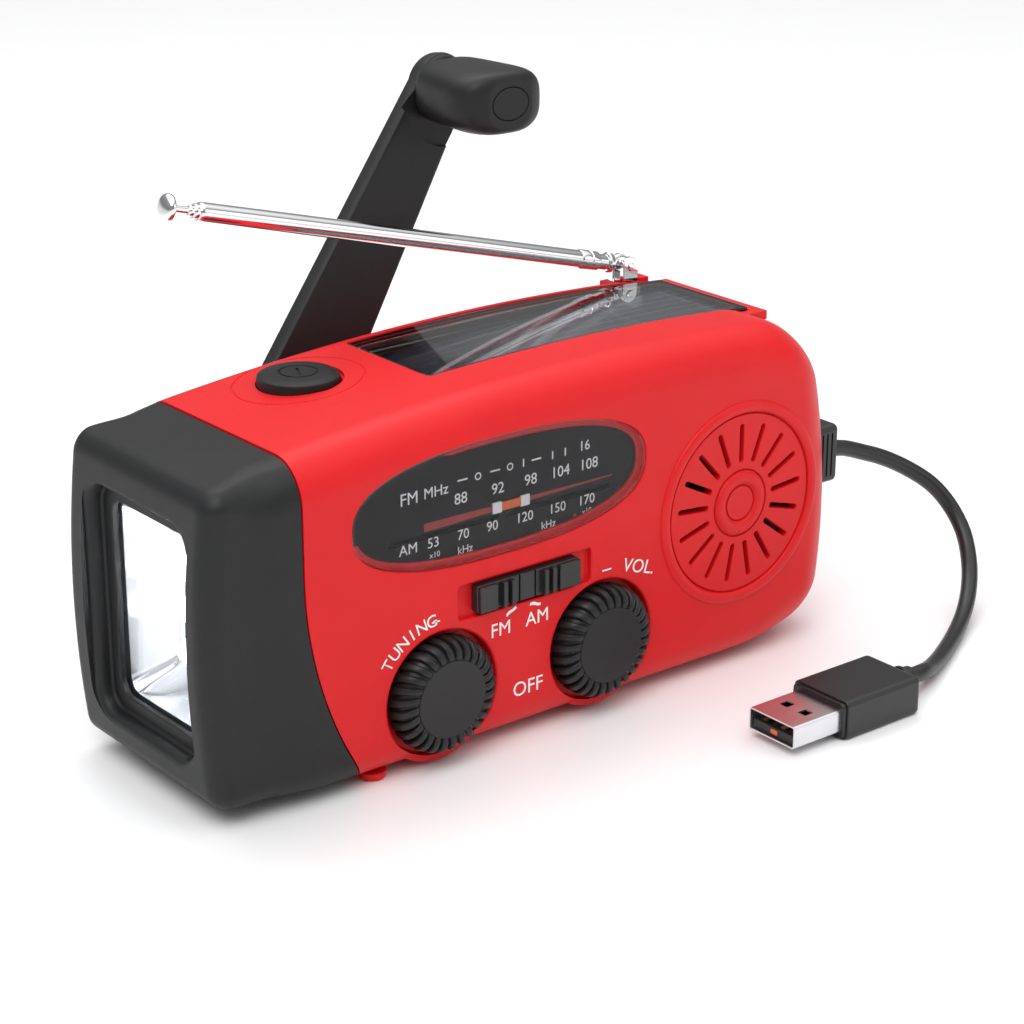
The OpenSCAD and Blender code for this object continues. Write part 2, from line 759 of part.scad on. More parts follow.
module crank_hub() {
  color(black) difference() {
    union() {
      rod_y(hub_x, hub_z, 13, boss_y + 0.3, 30.2, fn_mid);
      translate([hub_x, 0, hub_z]) rotate([0, crank_dir, 0]) {
        translate([-4, 29, -3.4]) cube([8, hinge_y - 29, 6.8]);
        rod_x(hinge_y, 0, 3.4, -4, 4);
      }
    }
    rod_y(hub_x, hub_z, 2.5, 20, 30);
    translate([hub_x, 0, hub_z]) rotate([0, crank_dir, 0])
      rod_x(hinge_y, 0, 1.5 + fit_gap, -10, 10);
  }
}

module hinge_pin() {
  color(steel) on_arm() translate([-9.6, 0, 0]) rotate([0, 90, 0])
    cylinder(r = 1.5, h = 19.2, $fn = fn_small);
}

module crank_arm() {
  color(black) difference() {
    union() {
      difference() {
        // tapered blade, stepped back where the grip turns
        on_arm() {
          translate([0, 0, -arm_t / 2]) linear_extrude(arm_t) polygon([
            [-arm_w0 / 2, 4.2], [arm_w0 / 2, 4.2], [arm_w1 / 2, crank_r], [-arm_w1 / 2, crank_r]]);
          translate([0, crank_r, -arm_t / 2]) cylinder(r = arm_w1 / 2, h = arm_t, $fn = fn_mid);
        }
        rod_y(arm_end[0], arm_end[2], 11.8, arm_end[1] - 12, arm_end[1] - 2.6, fn_mid);
      }
      on_arm() {
        // two hinge cheeks
        for (s = [-1, 1]) translate([s * 7.3 - 2.9, 0, 0]) {
          rotate([0, 90, 0]) cylinder(r = 3.4, h = 5.8, $fn = fn_small);
          translate([0, 0, -arm_t / 2]) cube([5.8, 5, arm_t]);
        }
      }
      rod_y(arm_end[0], arm_end[2], arm_w1 / 2 - 0.3, arm_end[1] - 2.6, arm_end[1] + 2.6, fn_mid);
    }
    on_arm() translate([-20, 0, 0]) rotate([0, 90, 0]) cylinder(r = 1.5, h = 40, $fn = fn_small);
    rod_y(arm_end[0], arm_end[2], 2.2, arm_end[1] - 8, arm_end[1] + 8);
  }
}

module grip_pin() {
  color(steel) union() {
    rod_y(arm_end[0], arm_end[2], 2.2, arm_end[1] - 18.5, arm_end[1] + 2.6);
    rod_y(arm_end[0], arm_end[2], 3.4, arm_end[1] - 20.1, arm_end[1] - 18.4);
  }
}

grip_y0 = arm_end[1] - 2.9 - grip_len;
module crank_grip() {
  color(black) difference() {
    intersection() {
      // rounded pillow section
      translate([arm_end[0], grip_y0 + grip_len, arm_end[2]]) rotate([90, 0, 0])
        linear_extrude(grip_len) polygon(oval(10.4, 6.4, 3.2, 48));
      // plan: narrower at the arm, round at the free end
      translate([arm_end[0], grip_y0, 80]) linear_extrude(50) polygon([
        [-8.6, grip_len], [-9.8, 12], [-10.4, 6], [-8.8, 2], [-5.5, 0],
        [5.5, 0], [8.8, 2], [10.4, 6], [9.8, 12], [8.6, grip_len]]);
    }
    rod_y(arm_end[0], arm_end[2], 2.2 + fit_gap, grip_y0 + 4, 60);
    rod_y(arm_end[0], arm_end[2], 3.6, grip_y0 + 3, arm_end[1] - 18.2);
  }
}

// ---------------------------------------------------------------- antenna

module antenna_base() {
  color(steel) difference() {
    translate([ant_x, ant_y, 56.1]) cylinder(r = 1.6, h = 11.1, $fn = fn_small);
    translate([ant_x, ant_y, 60]) cylinder(r = 1 + fit_gap, h = 20, $fn = fn_small);
  }
}

module antenna_elbow() {
  color(steel) difference() {
    union() {
      translate([ant_x, ant_y, 60.2]) cylinder(r = 1, h = 8, $fn = fn_small);
      translate([ant_x, ant_y, 67.3]) cylinder(r = 2.3, h = 1, $fn = fn_small);
      for (y = [-2.3, 1.1]) translate([ant_x - 2, ant_y + y, 67.4]) cube([4, 1.2, ant_z - 67.4]);
      for (y = [-2.3, 1.1]) rod_y(ant_x, ant_z, 2, ant_y + y, ant_y + y + 1.2);
    }
    rod_y(ant_x, ant_z, 0.8 + fit_gap, 10, 40);
  }
}

// First section with its pivot eye and pin
module antenna_tube_1() {
  color(steel) on_antenna() difference() {
    union() {
      rotate([90, 0, 0]) translate([0, 0, -2.5]) cylinder(r = 0.8, h = 5, $fn = fn_small);
      rotate([90, 0, 0]) translate([0, 0, -1]) cylinder(r = 1.8, h = 2, $fn = fn_small);
      translate([0, -1, -1]) cube([4.5, 2, 2]);
      translate([4, 0, 0]) rotate([0, 90, 0]) cylinder(r = 2.1, h = 1.4, $fn = fn_small);
      translate([5, 0, 0]) rotate([0, 90, 0]) cylinder(r = 1.6, h = 4, $fn = fn_small);
      translate([8, 0, 0]) rotate([0, 90, 0]) cylinder(r = 2.05, h = 5, $fn = fn_small);
      translate([12, 0, 0]) rotate([0, 90, 0]) cylinder(r = ant_r, h = 93, $fn = fn_small);
    }
    translate([14, 0, 0]) rotate([0, 90, 0]) cylinder(r = 1.45 + fit_gap, h = 100, $fn = fn_small);
  }
}

// Inner section: outer radius, bore radius, start and end along the antenna
module ant_section(ro, ri, x0, x1) {
  color(steel) on_antenna() difference() {
    translate([x0, 0, 0]) rotate([0, 90, 0]) cylinder(r = ro, h = x1 - x0, $fn = fn_small);
    translate([x0 - 1, 0, 0]) rotate([0, 90, 0]) cylinder(r = ri, h = x1 - x0 + 2, $fn = fn_small);
  }
}

module antenna_tube_2() {
  ant_section(1.45, 1.05 + fit_gap, 15, 106);
}

module antenna_tube_3() {
  ant_section(1.05, 0.65 + fit_gap, 16, 107);
}

module antenna_tip() {
  color(steel) on_antenna() {
    translate([17, 0, 0]) rotate([0, 90, 0]) cylinder(r = 0.65, h = ant_len - 17, $fn = fn_small);
    translate([ant_len - 1.2, 0, 0]) rotate([0, 90, 0]) cylinder(r = 2.6, h = 1.8, $fn = fn_small);
  }
}

// ---------------------------------------------------------------- charging lead

module usb_socket() {
  color(steel) difference() {
    block([66.4, plug_y - 1.5, plug_z - 4], [72.9, plug_y + 1.5, plug_z + 4]);
    block([67.4, plug_y - 1.1, plug_z - 3.6], [80, plug_y + 1.1, plug_z + 3.6]);
  }
}

module side_plug() {
  color(black) union() {
    bar = [plug_y - 3, plug_y + 3];
    block([73.1, bar[0], plug_z - 6.2], [79.5, bar[1], plug_z + 6.2]);
    block([68.2, plug_y - 1, plug_z - 3.4], [73.2, plug_y + 1, plug_z + 3.4]);
  }
}

// Frame of the swept tube: ring of points round p, facing along t
function unit(v) = v / norm(v);
function ring(p, t, r, n) =
  let (u = unit(cross(t, abs(t[2]) > 0.9 ? [1, 0, 0] : [0, 0, 1])), v = cross(u, t))
  [for (i = [0:n - 1]) p + r * (cos(360 * i / n) * u + sin(360 * i / n) * v)];
function catmull(a, b, c, d, t) =
  0.5 * ((2 * b) + (c - a) * t + (2 * a - 5 * b + 4 * c - d) * t * t
    + (3 * b - a - 3 * c + d) * t * t * t);
function smooth(P) = let (n = len(P)) concat(
  [for (i = [0:n - 2], t = [0, 0.5])
    catmull(P[max(i - 1, 0)], P[i], P[i + 1], P[min(i + 2, n - 1)], t)], [P[n - 1]]);

module usb_cable() {
  color(black) {
    sides = 8;
    path = smooth(ROUTE);
    n = len(path);
    tangents = [for (i = [0:n - 1]) i == 0 ? [1, 0, 0] : i == n - 1 ? [-1, 0, 0]
      : unit(path[i + 1] - path[i - 1])];
    points = [for (i = [0:n - 1]) each ring(path[i], tangents[i], cable_d / 2, sides)];
    faces = concat(
      [[for (k = [0:sides - 1]) k]],
      [for (i = [0:n - 2], k = [0:sides - 1]) let (j = (k + 1) % sides)
        [i * sides + k, (i + 1) * sides + k, (i + 1) * sides + j, i * sides + j]],
      [[for (k = [sides - 1:-1:0]) (n - 1) * sides + k]]);
    polyhedron(points, faces);
  }
}

module usb_plug_body() {
  color(black) difference() {
    union() {
      block([36.3, usb_y - 7.2, 0], [57, usb_y + 7.2, 7.8]);
      rod_x(usb_y, usb_z, 2.9, 56.9, 59.2);
      rod_x(usb_y, usb_z, 2.3, 59.1, 61.5);
    }
    block([30, usb_y - 6, usb_z - 2.25], [42.3, usb_y + 6, usb_z + 2.25]);
  }
}

module usb_plug_shell() {
  color(steel) difference() {
    block([24.3, usb_y - 6, usb_z - 2.25], [42.3, usb_y + 6, usb_z + 2.25]);
    block([20, usb_y - 5.7, usb_z - 1.95], [41.5, usb_y + 5.7, usb_z + 1.95]);
    for (y = [-3.4, 1.4]) block([29.5, usb_y + y, usb_z + 1], [31.7, usb_y + y + 2, usb_z + 5]);
  }
}

module usb_plug_tongue() {
  color("#151618") block([25, usb_y - 5.6, usb_z - 1.9], [41.4, usb_y + 5.6, usb_z - 0.1]);
}

front_case();
rear_cover();
torch_head();
torch_lens();
torch_reflector();
torch_leds();
led_board();
solar_window();
solar_panel();
dial_window();
dial_plate();
pointer_rail();
dial_pointer();
tuning_knob();
tuning_shaft();
tuning_capacitor();
volume_knob();
volume_shaft();
volume_pot();
band_slider();
slide_switch();
power_button();
button_switch();
switch_board();
speaker_frame();
speaker_cone();
speaker_magnet();
main_board();
ferrite_rod();
ferrite_coil();
rod_clips();
battery_pack();
battery_foam();
gear_plate_front();
gear_plate_rear();
idler_gear();
dynamo_can();
dynamo_rotor();
crank_shaft();
drive_gear();
crank_hub();
hinge_pin();
crank_arm();
grip_pin();
crank_grip();
antenna_base();
antenna_elbow();
antenna_tube_1();
antenna_tube_2();
antenna_tube_3();
antenna_tip();
usb_socket();
feet();
case_screws();
side_plug();
usb_cable();
usb_plug_body();
usb_plug_shell();
usb_plug_tongue();
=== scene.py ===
"""Looks of the emergency radio. Shapes are worked in millimetres and scaled to metres when a
mesh is made. Every local frame has w pointing out of the surface that a feature sits on."""
import json
import math

import bmesh
import bpy
import numpy as np
from mathutils import Matrix, Vector


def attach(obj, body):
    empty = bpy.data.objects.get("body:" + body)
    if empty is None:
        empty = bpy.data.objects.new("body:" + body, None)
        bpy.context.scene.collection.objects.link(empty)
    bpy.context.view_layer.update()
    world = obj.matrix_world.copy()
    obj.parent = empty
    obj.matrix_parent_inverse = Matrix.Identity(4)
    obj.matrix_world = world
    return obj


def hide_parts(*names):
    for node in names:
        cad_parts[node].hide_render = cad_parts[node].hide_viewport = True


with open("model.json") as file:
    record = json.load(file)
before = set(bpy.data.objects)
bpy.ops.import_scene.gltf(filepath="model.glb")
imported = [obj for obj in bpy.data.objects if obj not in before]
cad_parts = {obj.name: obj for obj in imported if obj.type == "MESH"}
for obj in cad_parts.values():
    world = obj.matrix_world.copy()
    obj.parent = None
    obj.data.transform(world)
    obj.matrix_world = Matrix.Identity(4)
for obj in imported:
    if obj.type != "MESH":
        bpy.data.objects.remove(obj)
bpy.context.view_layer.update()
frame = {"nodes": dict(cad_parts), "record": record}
MM = 0.001

# Camera
CAMERA_AT = (-279.6, -361.55, 208.0)
CAMERA_AZIMUTH, CAMERA_ELEVATION = -38.46, 20.64
CAMERA_LENS = 89.36

# Case
CASE_END, HALF_DEPTH, CROWN_TOP, BASE = 75.0, 25.0, 69.5, 1.6
CROWN_X, CROWN_R = 15.0, 576.0
BULGE_R, BULGE_Z = 120.0, 27.0
WALL, PART_Y = 2.2, 20.3
SEAM_X, SEAM_R, SEAM_Z, SEAM_GAP = -57.5, 77.0, 44.0, 0.15
FRONT = 25.0

# Controls on the front, as x and z of their centres
DIAL = (-13.7, 49.8)
DIAL_HALF, DIAL_POWER = (33.4, 11.2), 2.5
TUNING, VOLUME = (-28.2, 14.5), (9.45, 14.9)
RECESS_R = 12.3
SLOT_X, SLOT_Z, SLIDER_X = (-24.5, 6.7), (27.8, 34.5), (-20.8, 3.2)
SPEAKER = (44.6, 34.7)
POINTER_X, POINTER_Z = (-15.6, -7.1), (46.0, 48.1)
PLATE_W = 22.7
KNOB_LUGS = 28
GRILLE_SLOTS = 17
INK = 0.04

# Top
BUTTON = (-35.3, 8.6)
SOLAR_X, SOLAR_Y, SOLAR_FLOOR = (-17.7, 62.0), (-7.7, 18.8), 66.2

# Crank and antenna
HUB = (-24.7, 43.4)
HINGE_Y, BOSS_Y, CRANK_R = 35.0, 28.0, 84.0
CRANK_DIR, CRANK_LEAN = math.radians(39.6), math.radians(10)
ANTENNA = (54.9, 22.5, 70.9)
ANTENNA_RISE = math.radians(14.8)
POCKET_X, POCKET_Z = 56.5, 33.0
GRIP_LEN = 20.6

# Fasteners, feet and lamps
SCREWS = ((-44, 9.5), (-50, 56), (58, 9.5), (30, 58))
FEET = ((-41, -20.2), (-41, 16), (58, -12), (58, 16))
LAMPS = (("low", 24.5), ("mid", 32.5), ("high", 40.5))
LAMP_Y, LAMP_R = 0.5, 2.4

# Charging lead, the same route as the CAD solid
PLUG = (-14.2, 35.4)
USB_Y, USB_Z = -56.5, 3.9
CABLE_D = 3.4
ROUTE = [
    (79.5, -14.2, 35.4), (84, -14.3, 34.6), (89, -14.8, 32.8), (94.5, -16, 30.6),
    (100, -18, 27.5), (104.5, -20.8, 23.8), (107, -24, 19.4), (107.2, -28, 14.6),
    (105, -32, 10), (101.2, -35.8, 6.2), (95.5, -39.8, 3.2), (87, -44.9, 1.9),
    (77.5, -50.2, 1.9), (70, -54, 2.6), (65.3, -56, 3.6), (61.5, -56.5, 3.9)]


# ------------------------------------------------------------------ materials

def put(shader_node, **values):
    """Set a node's inputs, named with underscores for spaces."""
    for name, value in values.items():
        shader_node.inputs[name.replace("_", " ")].default_value = value


def node(mat, kind, **values):
    made = mat.node_tree.nodes.new(kind)
    put(made, **values)
    return made


def material(name, color, rough, grain=0.0, size=0.3, vary=0.06, metal=0.0, coat=0.0,
             transmission=0.0, ior=1.5, shine=0.5):
    """Moulded or metal surface: colour mottling, uneven gloss and a fine grain of the given
    size in millimetres."""
    mat = bpy.data.materials.new(name)
    mat.use_nodes = True
    nodes, links = mat.node_tree.nodes, mat.node_tree.links
    shader = nodes["Principled BSDF"]
    put(shader, Metallic=metal, Coat_Weight=coat, Coat_Roughness=0.05,
        Transmission_Weight=transmission, IOR=ior, Specular_IOR_Level=shine)
    place = node(mat, "ShaderNodeTexCoord")

    blotch = node(mat, "ShaderNodeTexNoise", Scale=60, Detail=4)
    links.new(place.outputs["Object"], blotch.inputs["Vector"])
    ramp = node(mat, "ShaderNodeValToRGB")
    dark, light = ramp.color_ramp.elements
    dark.position, light.position = 0.3, 0.7
    dark.color = tuple(c * (1 - vary) for c in color) + (1,)
    light.color = tuple(min(1, c * (1 + vary)) for c in color) + (1,)
    links.new(blotch.outputs["Fac"], ramp.inputs["Fac"])
    links.new(ramp.outputs["Color"], shader.inputs["Base Color"])

    gloss = node(mat, "ShaderNodeTexNoise", Scale=260, Detail=5)
    links.new(place.outputs["Object"], gloss.inputs["Vector"])
    span = node(mat, "ShaderNodeMapRange", To_Min=rough * 0.88, To_Max=min(1.0, rough * 1.12))
    links.new(gloss.outputs["Fac"], span.inputs["Value"])
    links.new(span.outputs["Result"], shader.inputs["Roughness"])

    if grain:
        fine = node(mat, "ShaderNodeTexNoise", Scale=1 / (size * MM), Detail=2)
        links.new(place.outputs["Object"], fine.inputs["Vector"])
        bump = node(mat, "ShaderNodeBump", Strength=grain, Distance=0.05 * MM)
        links.new(fine.outputs["Fac"], bump.inputs["Height"])
        links.new(bump.outputs["Normal"], shader.inputs["Normal"])
    return mat


def brushed(name, color, rough, axis):
    """Metal with fine drawn lines along one axis."""
    mat = material(name, color, rough, metal=1.0, vary=0.1)
    links = mat.node_tree.links
    place = node(mat, "ShaderNodeTexCoord")
    stretch = node(mat, "ShaderNodeMapping",
                   Scale=[40 if i == axis else 6000 for i in range(3)])
    lines = node(mat, "ShaderNodeTexNoise", Scale=1)
    bump = node(mat, "ShaderNodeBump", Strength=0.25, Distance=0.01 * MM)
    links.new(place.outputs["Object"], stretch.inputs["Vector"])
    links.new(stretch.outputs["Vector"], lines.inputs["Vector"])
    links.new(lines.outputs["Fac"], bump.inputs["Height"])
    links.new(bump.outputs["Normal"], mat.node_tree.nodes["Principled BSDF"].inputs["Normal"])
    return mat


def solar_cells():
    """Blue-black cells with fine silver grid lines."""
    mat = material("solar_cells", (0.012, 0.016, 0.03), 0.22, coat=0.6, vary=0.25)
    links = mat.node_tree.links
    place = node(mat, "ShaderNodeTexCoord")
    cells = node(mat, "ShaderNodeTexBrick", Scale=1, Brick_Width=0.019, Row_Height=0.0028,
                 Mortar_Size=0.00012, Mortar_Smooth=0.2, Color1=(0.012, 0.016, 0.03, 1),
                 Color2=(0.02, 0.024, 0.045, 1), Mortar=(0.2, 0.22, 0.25, 1))
    cells.offset = 0.0
    links.new(place.outputs["Object"], cells.inputs["Vector"])
    links.new(cells.outputs["Color"],
              mat.node_tree.nodes["Principled BSDF"].inputs["Base Color"])
    return mat


def lamp(name, strength):
    mat = material(name, (0.95, 0.96, 1.0), 0.3)
    put(mat.node_tree.nodes["Principled BSDF"], Emission_Color=(0.96, 0.98, 1.0, 1),
        Emission_Strength=strength)
    return mat


RED = material("red_plastic", (0.68, 0.009, 0.012), 0.42, grain=0.4, size=0.35, vary=0.03,
               shine=0.26)
CHARCOAL = material("charcoal_plastic", (0.014, 0.0145, 0.0155), 0.46, grain=0.6, size=0.3,
                    shine=0.3)
KNOB = material("knob_plastic", (0.013, 0.013, 0.014), 0.4, grain=0.3, size=0.25, shine=0.36)
RUBBER = material("button_rubber", (0.011, 0.011, 0.012), 0.48, grain=0.3, size=0.2, shine=0.3)
CABLE = material("cable_pvc", (0.012, 0.012, 0.013), 0.36, grain=0.2, size=0.6)
CHROME = material("antenna_chrome", (0.86, 0.86, 0.88), 0.06, metal=1.0, vary=0.02)
SMOKED = material("dial_acrylic", (0.88, 0.88, 0.9), 0.02, transmission=1.0, ior=1.22, vary=0.01)
CLEAR = material("clear_acrylic", (0.93, 0.95, 0.97), 0.03, transmission=1.0, ior=1.45, vary=0.01)
MIRROR = material("reflector_metal", (0.92, 0.93, 0.95), 0.12, metal=0.9, vary=0.03)
PRINT_BLACK = material("dial_print", (0.006, 0.006, 0.007), 0.3, vary=0.1, shine=0.08)
PRINT_WHITE = material("white_ink", (0.85, 0.85, 0.85), 0.5, grain=0.2, size=0.2)
PRINT_RED = material("red_ink", (0.33, 0.018, 0.014), 0.45, vary=0.12)
ORANGE = material("orange_plastic", (0.8, 0.13, 0.012), 0.4, grain=0.2)
PLUG_STEEL = brushed("plug_steel", (0.72, 0.72, 0.74), 0.3, 0)
CELLS = solar_cells()
LAMP = lamp("led_lamp", 14)

CAD_LOOKS = {
    "red_shell": RED, "torch_black": CHARCOAL, "clear_plastic": CLEAR, "dial_glass": SMOKED,
    "reflector_white": MIRROR, "led_white": LAMP, "solar_cell": CELLS,
    "dial_print": PRINT_BLACK, "pointer_orange": ORANGE, "knob_black": KNOB,
    "button_rubber": RUBBER, "crank_black": CHARCOAL, "antenna_chrome": CHROME,
    "cable_black": CABLE, "plug_steel": PLUG_STEEL,
    "control_black": material("control_plastic", (0.016, 0.016, 0.017), 0.38, grain=0.3),
    "plug_tongue": material("tongue_plastic", (0.014, 0.014, 0.015), 0.45, grain=0.2),
    "circuit_board": material("solder_mask", (0.012, 0.12, 0.04), 0.35, grain=0.3, size=0.8,
                              coat=0.3, vary=0.2),
    "bright_steel": brushed("plated_steel", (0.62, 0.62, 0.64), 0.28, 0),
    "steel_part": brushed("zinc_steel", (0.5, 0.5, 0.52), 0.36, 1),
    "brass_part": brushed("turned_brass", (0.72, 0.5, 0.2), 0.3, 1),
    "white_plastic": material("acetal", (0.78, 0.77, 0.72), 0.42, grain=0.2),
    "pot_blue": material("blue_plastic", (0.03, 0.1, 0.28), 0.4, grain=0.2),
    "speaker_paper": material("paper_cone", (0.025, 0.024, 0.024), 0.85, grain=0.9, size=0.5),
    "ferrite": material("ferrite", (0.035, 0.033, 0.032), 0.7, grain=0.6, size=0.4),
    "copper_wire": material("enamelled_copper", (0.5, 0.17, 0.07), 0.35, metal=0.8, grain=0.8,
                            size=0.25),
    "battery_wrap": material("battery_wrap", (0.02, 0.1, 0.36), 0.3, coat=0.3),
    "foam_grey": material("foam", (0.07, 0.07, 0.075), 0.95, grain=1.0, size=0.7),
}
for part in frame["record"]["subparts"]:
    obj = frame["nodes"][part["node"]]
    obj.data.materials.clear()
    obj.data.materials.append(CAD_LOOKS[part["material_slot"]])


# ------------------------------------------------------------------ local frames

def axes(origin, u, v, w):
    m = np.eye(4)
    m[:3, 0], m[:3, 1], m[:3, 2], m[:3, 3] = u, v, w, origin
    return m


def on_front(x=0.0, z=0.0):
    return axes((x, 0, z), (1, 0, 0), (0, 0, 1), (0, -1, 0))


def on_rear(x=0.0, z=0.0):
    return axes((x, 0, z), (-1, 0, 0), (0, 0, 1), (0, 1, 0))


def on_top(x=0.0, y=0.0):
    return axes((x, y, 0), (1, 0, 0), (0, 1, 0), (0, 0, 1))


def on_left(y=0.0, z=0.0):
    return axes((0, y, z), (0, -1, 0), (0, 0, 1), (-1, 0, 0))


def on_right(y=0.0, z=0.0):
    return axes((0, y, z), (0, 1, 0), (0, 0, 1), (1, 0, 0))


def on_pin(origin):
    """Frame of a round part that lies along Y."""
    return axes(origin, (1, 0, 0), (0, 0, 1), (0, 1, 0))


ARM_ALONG = np.array([math.cos(CRANK_LEAN) * math.sin(CRANK_DIR), math.sin(CRANK_LEAN),
                      math.cos(CRANK_LEAN) * math.cos(CRANK_DIR)])
ARM_ACROSS = np.array([math.cos(CRANK_DIR), 0, -math.sin(CRANK_DIR)])
ARM_OUT = np.cross(ARM_ALONG, ARM_ACROSS)
HINGE = np.array([HUB[0], HINGE_Y, HUB[1]])
ARM_END = HINGE + CRANK_R * ARM_ALONG
ON_ARM = axes(HINGE, -ARM_ACROSS, ARM_ALONG, ARM_OUT)
ANT_ALONG = np.array([-math.cos(ANTENNA_RISE), 0, math.sin(ANTENNA_RISE)])
ON_ANTENNA = axes(ANTENNA, (0, 1, 0), np.cross(ANT_ALONG, (0, 1, 0)), ANT_ALONG)


# ------------------------------------------------------------------ outlines and solids

def circle(r, n=64):
    t = np.linspace(0, 2 * math.pi, n, endpoint=False)
    return np.c_[r * np.cos(t), r * np.sin(t)]


def oval(a, b, power, n=128):
    t = np.linspace(0, 2 * math.pi, n, endpoint=False)
    c, s = np.cos(t), np.sin(t)
    return np.c_[a * np.sign(c) * abs(c) ** (2 / power), b * np.sign(s) * abs(s) ** (2 / power)]


def rounded(x0, x1, y0, y1, r, n=8):
    pts = []
    for cx, cy, start in ((x1 - r, y1 - r, 0), (x0 + r, y1 - r, 90), (x0 + r, y0 + r, 180),
                          (x1 - r, y0 + r, 270)):
        for k in range(n + 1):
            a = math.radians(start + 90 * k / n)
            pts.append((cx + r * math.cos(a), cy + r * math.sin(a)))
    return np.array(pts)


def grow(outline, d):
    """Outline with every edge moved out by d."""
    before = outline - np.roll(outline, 1, 0)
    after = np.roll(outline, -1, 0) - outline
    n1, n2 = (np.c_[e[:, 1], -e[:, 0]] / np.linalg.norm(e, axis=1)[:, None]
              for e in (before, after))
    return outline + d * (n1 + n2) / (1 + (n1 * n2).sum(1))[:, None]


def loft(rings):
    """Closed solid through rings of points."""
    n = len(rings[0])
    faces = [list(range(n - 1, -1, -1))]
    for k in range(len(rings) - 1):
        for i in range(n):
            j = (i + 1) % n
            faces.append([k * n + i, k * n + j, (k + 1) * n + j, (k + 1) * n + i])
    faces.append([(len(rings) - 1) * n + i for i in range(n)])
    return np.vstack(rings), faces


def lift(outline, w):
    return np.c_[outline, np.full(len(outline), w)]


def slab(outline, lo, hi, r_lo=0.0, r_hi=0.0, steps=4):
    """Plate between two heights with rounded rims."""
    rings = []
    for k in range(steps + 1 if r_lo else 1):
        a = math.pi / 2 * k / steps if r_lo else math.pi / 2
        rings.append(lift(grow(outline, r_lo * (math.sin(a) - 1)), lo + r_lo * (1 - math.cos(a))))
    for k in range(steps + 1 if r_hi else 1):
        a = math.pi / 2 * k / steps if r_hi else 0
        rings.append(lift(grow(outline, r_hi * (math.cos(a) - 1)), hi - r_hi * (1 - math.sin(a))))
    return loft(rings)


def sink(outline, surface, floor, lip=0.4, fillet=0.3, steps=4):
    """Cutter for a pocket, with a rounded lip at the surface and a rounded floor."""
    rings = []
    for k in range(steps + 1):
        a = math.pi / 2 * k / steps
        rings.append(lift(grow(outline, fillet * (math.sin(a) - 1)),
                          floor + fillet * (1 - math.cos(a))))
    for k in range(steps + 1):
        b = math.pi / 2 * k / steps
        rings.append(lift(grow(outline, lip * (1 - math.cos(b))),
                          surface - lip + lip * math.sin(b)))
    rings.append(lift(grow(outline, lip), surface + 4))
    return loft(rings)


def lathe(profile, n=96):
    """Solid of revolution about w. The profile runs from its lower to its upper end as r, w."""
    return loft([lift(circle(max(r, 1e-3), n), w) for r, w in profile])


def hoop(r, a, b, w, n=128, m=16):
    """Ring with an elliptic section."""
    verts, faces = [], []
    for i in range(n):
        t = 2 * math.pi * i / n
        for k in range(m):
            s = 2 * math.pi * k / m
            rr = r + a * math.cos(s)
            verts.append((rr * math.cos(t), rr * math.sin(t), w + b * math.sin(s)))
    for i in range(n):
        for k in range(m):
            i2, k2 = (i + 1) % n, (k + 1) % m
            faces.append([i * m + k, i2 * m + k, i2 * m + k2, i * m + k2])
    return np.array(verts), faces


def block(x0, x1, y0, y1, z0, z1):
    return slab(np.array([(x0, y0), (x1, y0), (x1, y1), (x0, y1)], float), z0, z1)


def prism_y(points, y0, y1):
    """Extrusion along Y of an outline in XZ."""
    verts, faces = slab(np.array(points, float), -y1, -y0)
    return moved((verts, faces), on_front())


def moved(solid, m):
    verts, faces = solid
    verts = np.asarray(verts, float)
    return verts @ m[:3, :3].T + m[:3, 3], faces


def turned(solid, angle):
    c, s = math.cos(angle), math.sin(angle)
    return solid[0] @ np.array([[c, s, 0], [-s, c, 0], [0, 0, 1]]), solid[1]


def merged(solids):
    verts, faces, base = [], [], 0
    for v, f in solids:
        verts.append(v)
        faces += [[i + base for i in face] for face in f]
        base += len(v)
    return np.vstack(verts), faces


def mesh_of(name, solid):
    verts, faces = solid
    mesh = bpy.data.meshes.new(name)
    mesh.from_pydata([tuple(v * MM) for v in verts], [], faces)
    bm = bmesh.new()
    bm.from_mesh(mesh)
    bmesh.ops.remove_doubles(bm, verts=bm.verts, dist=1e-6)
    bmesh.ops.recalc_face_normals(bm, faces=bm.faces)
    bm.to_mesh(mesh)
    bm.free()
    return mesh


def thing(name, solid):
    obj = bpy.data.objects.new(name, mesh_of(name, solid))
    bpy.context.scene.collection.objects.link(obj)
    return obj


def combine(obj, solid, operation="DIFFERENCE"):
    tool = thing("tool", solid)
    mod = obj.modifiers.new("tool", "BOOLEAN")
    mod.operation, mod.object, mod.solver = operation, tool, "MANIFOLD"
    deps = bpy.context.evaluated_depsgraph_get()
    mesh = bpy.data.meshes.new_from_object(obj.evaluated_get(deps), depsgraph=deps)
    obj.modifiers.clear()
    if len(mesh.polygons) == 0:
        raise RuntimeError(f"{obj.name}: {operation} left nothing")
    obj.data = mesh
    bpy.data.objects.remove(tool)


def polish(obj, mat, body, stands_for=(), sharp=34):
    """Smooth shading with crisp edges, then the piece's material and body."""
    mesh = obj.data
    mesh.materials.clear()
    mesh.materials.append(mat)
    bm = bmesh.new()
    bm.from_mesh(mesh)
    bmesh.ops.remove_doubles(bm, verts=bm.verts, dist=2e-6)
    bmesh.ops.dissolve_degenerate(bm, edges=bm.edges, dist=1e-6)
    for face in bm.faces:
        face.smooth = True
        face.material_index = 0
    limit = math.radians(sharp)
    for edge in bm.edges:
        edge.smooth = len(edge.link_faces) == 2 and edge.calc_face_angle(0) < limit
    bm.to_mesh(mesh)
    bm.free()
    weigh = obj.modifiers.new("normals", "WEIGHTED_NORMAL")
    weigh.keep_sharp = True
    if stands_for:
        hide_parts(*stands_for)
    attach(obj, body)
    return obj


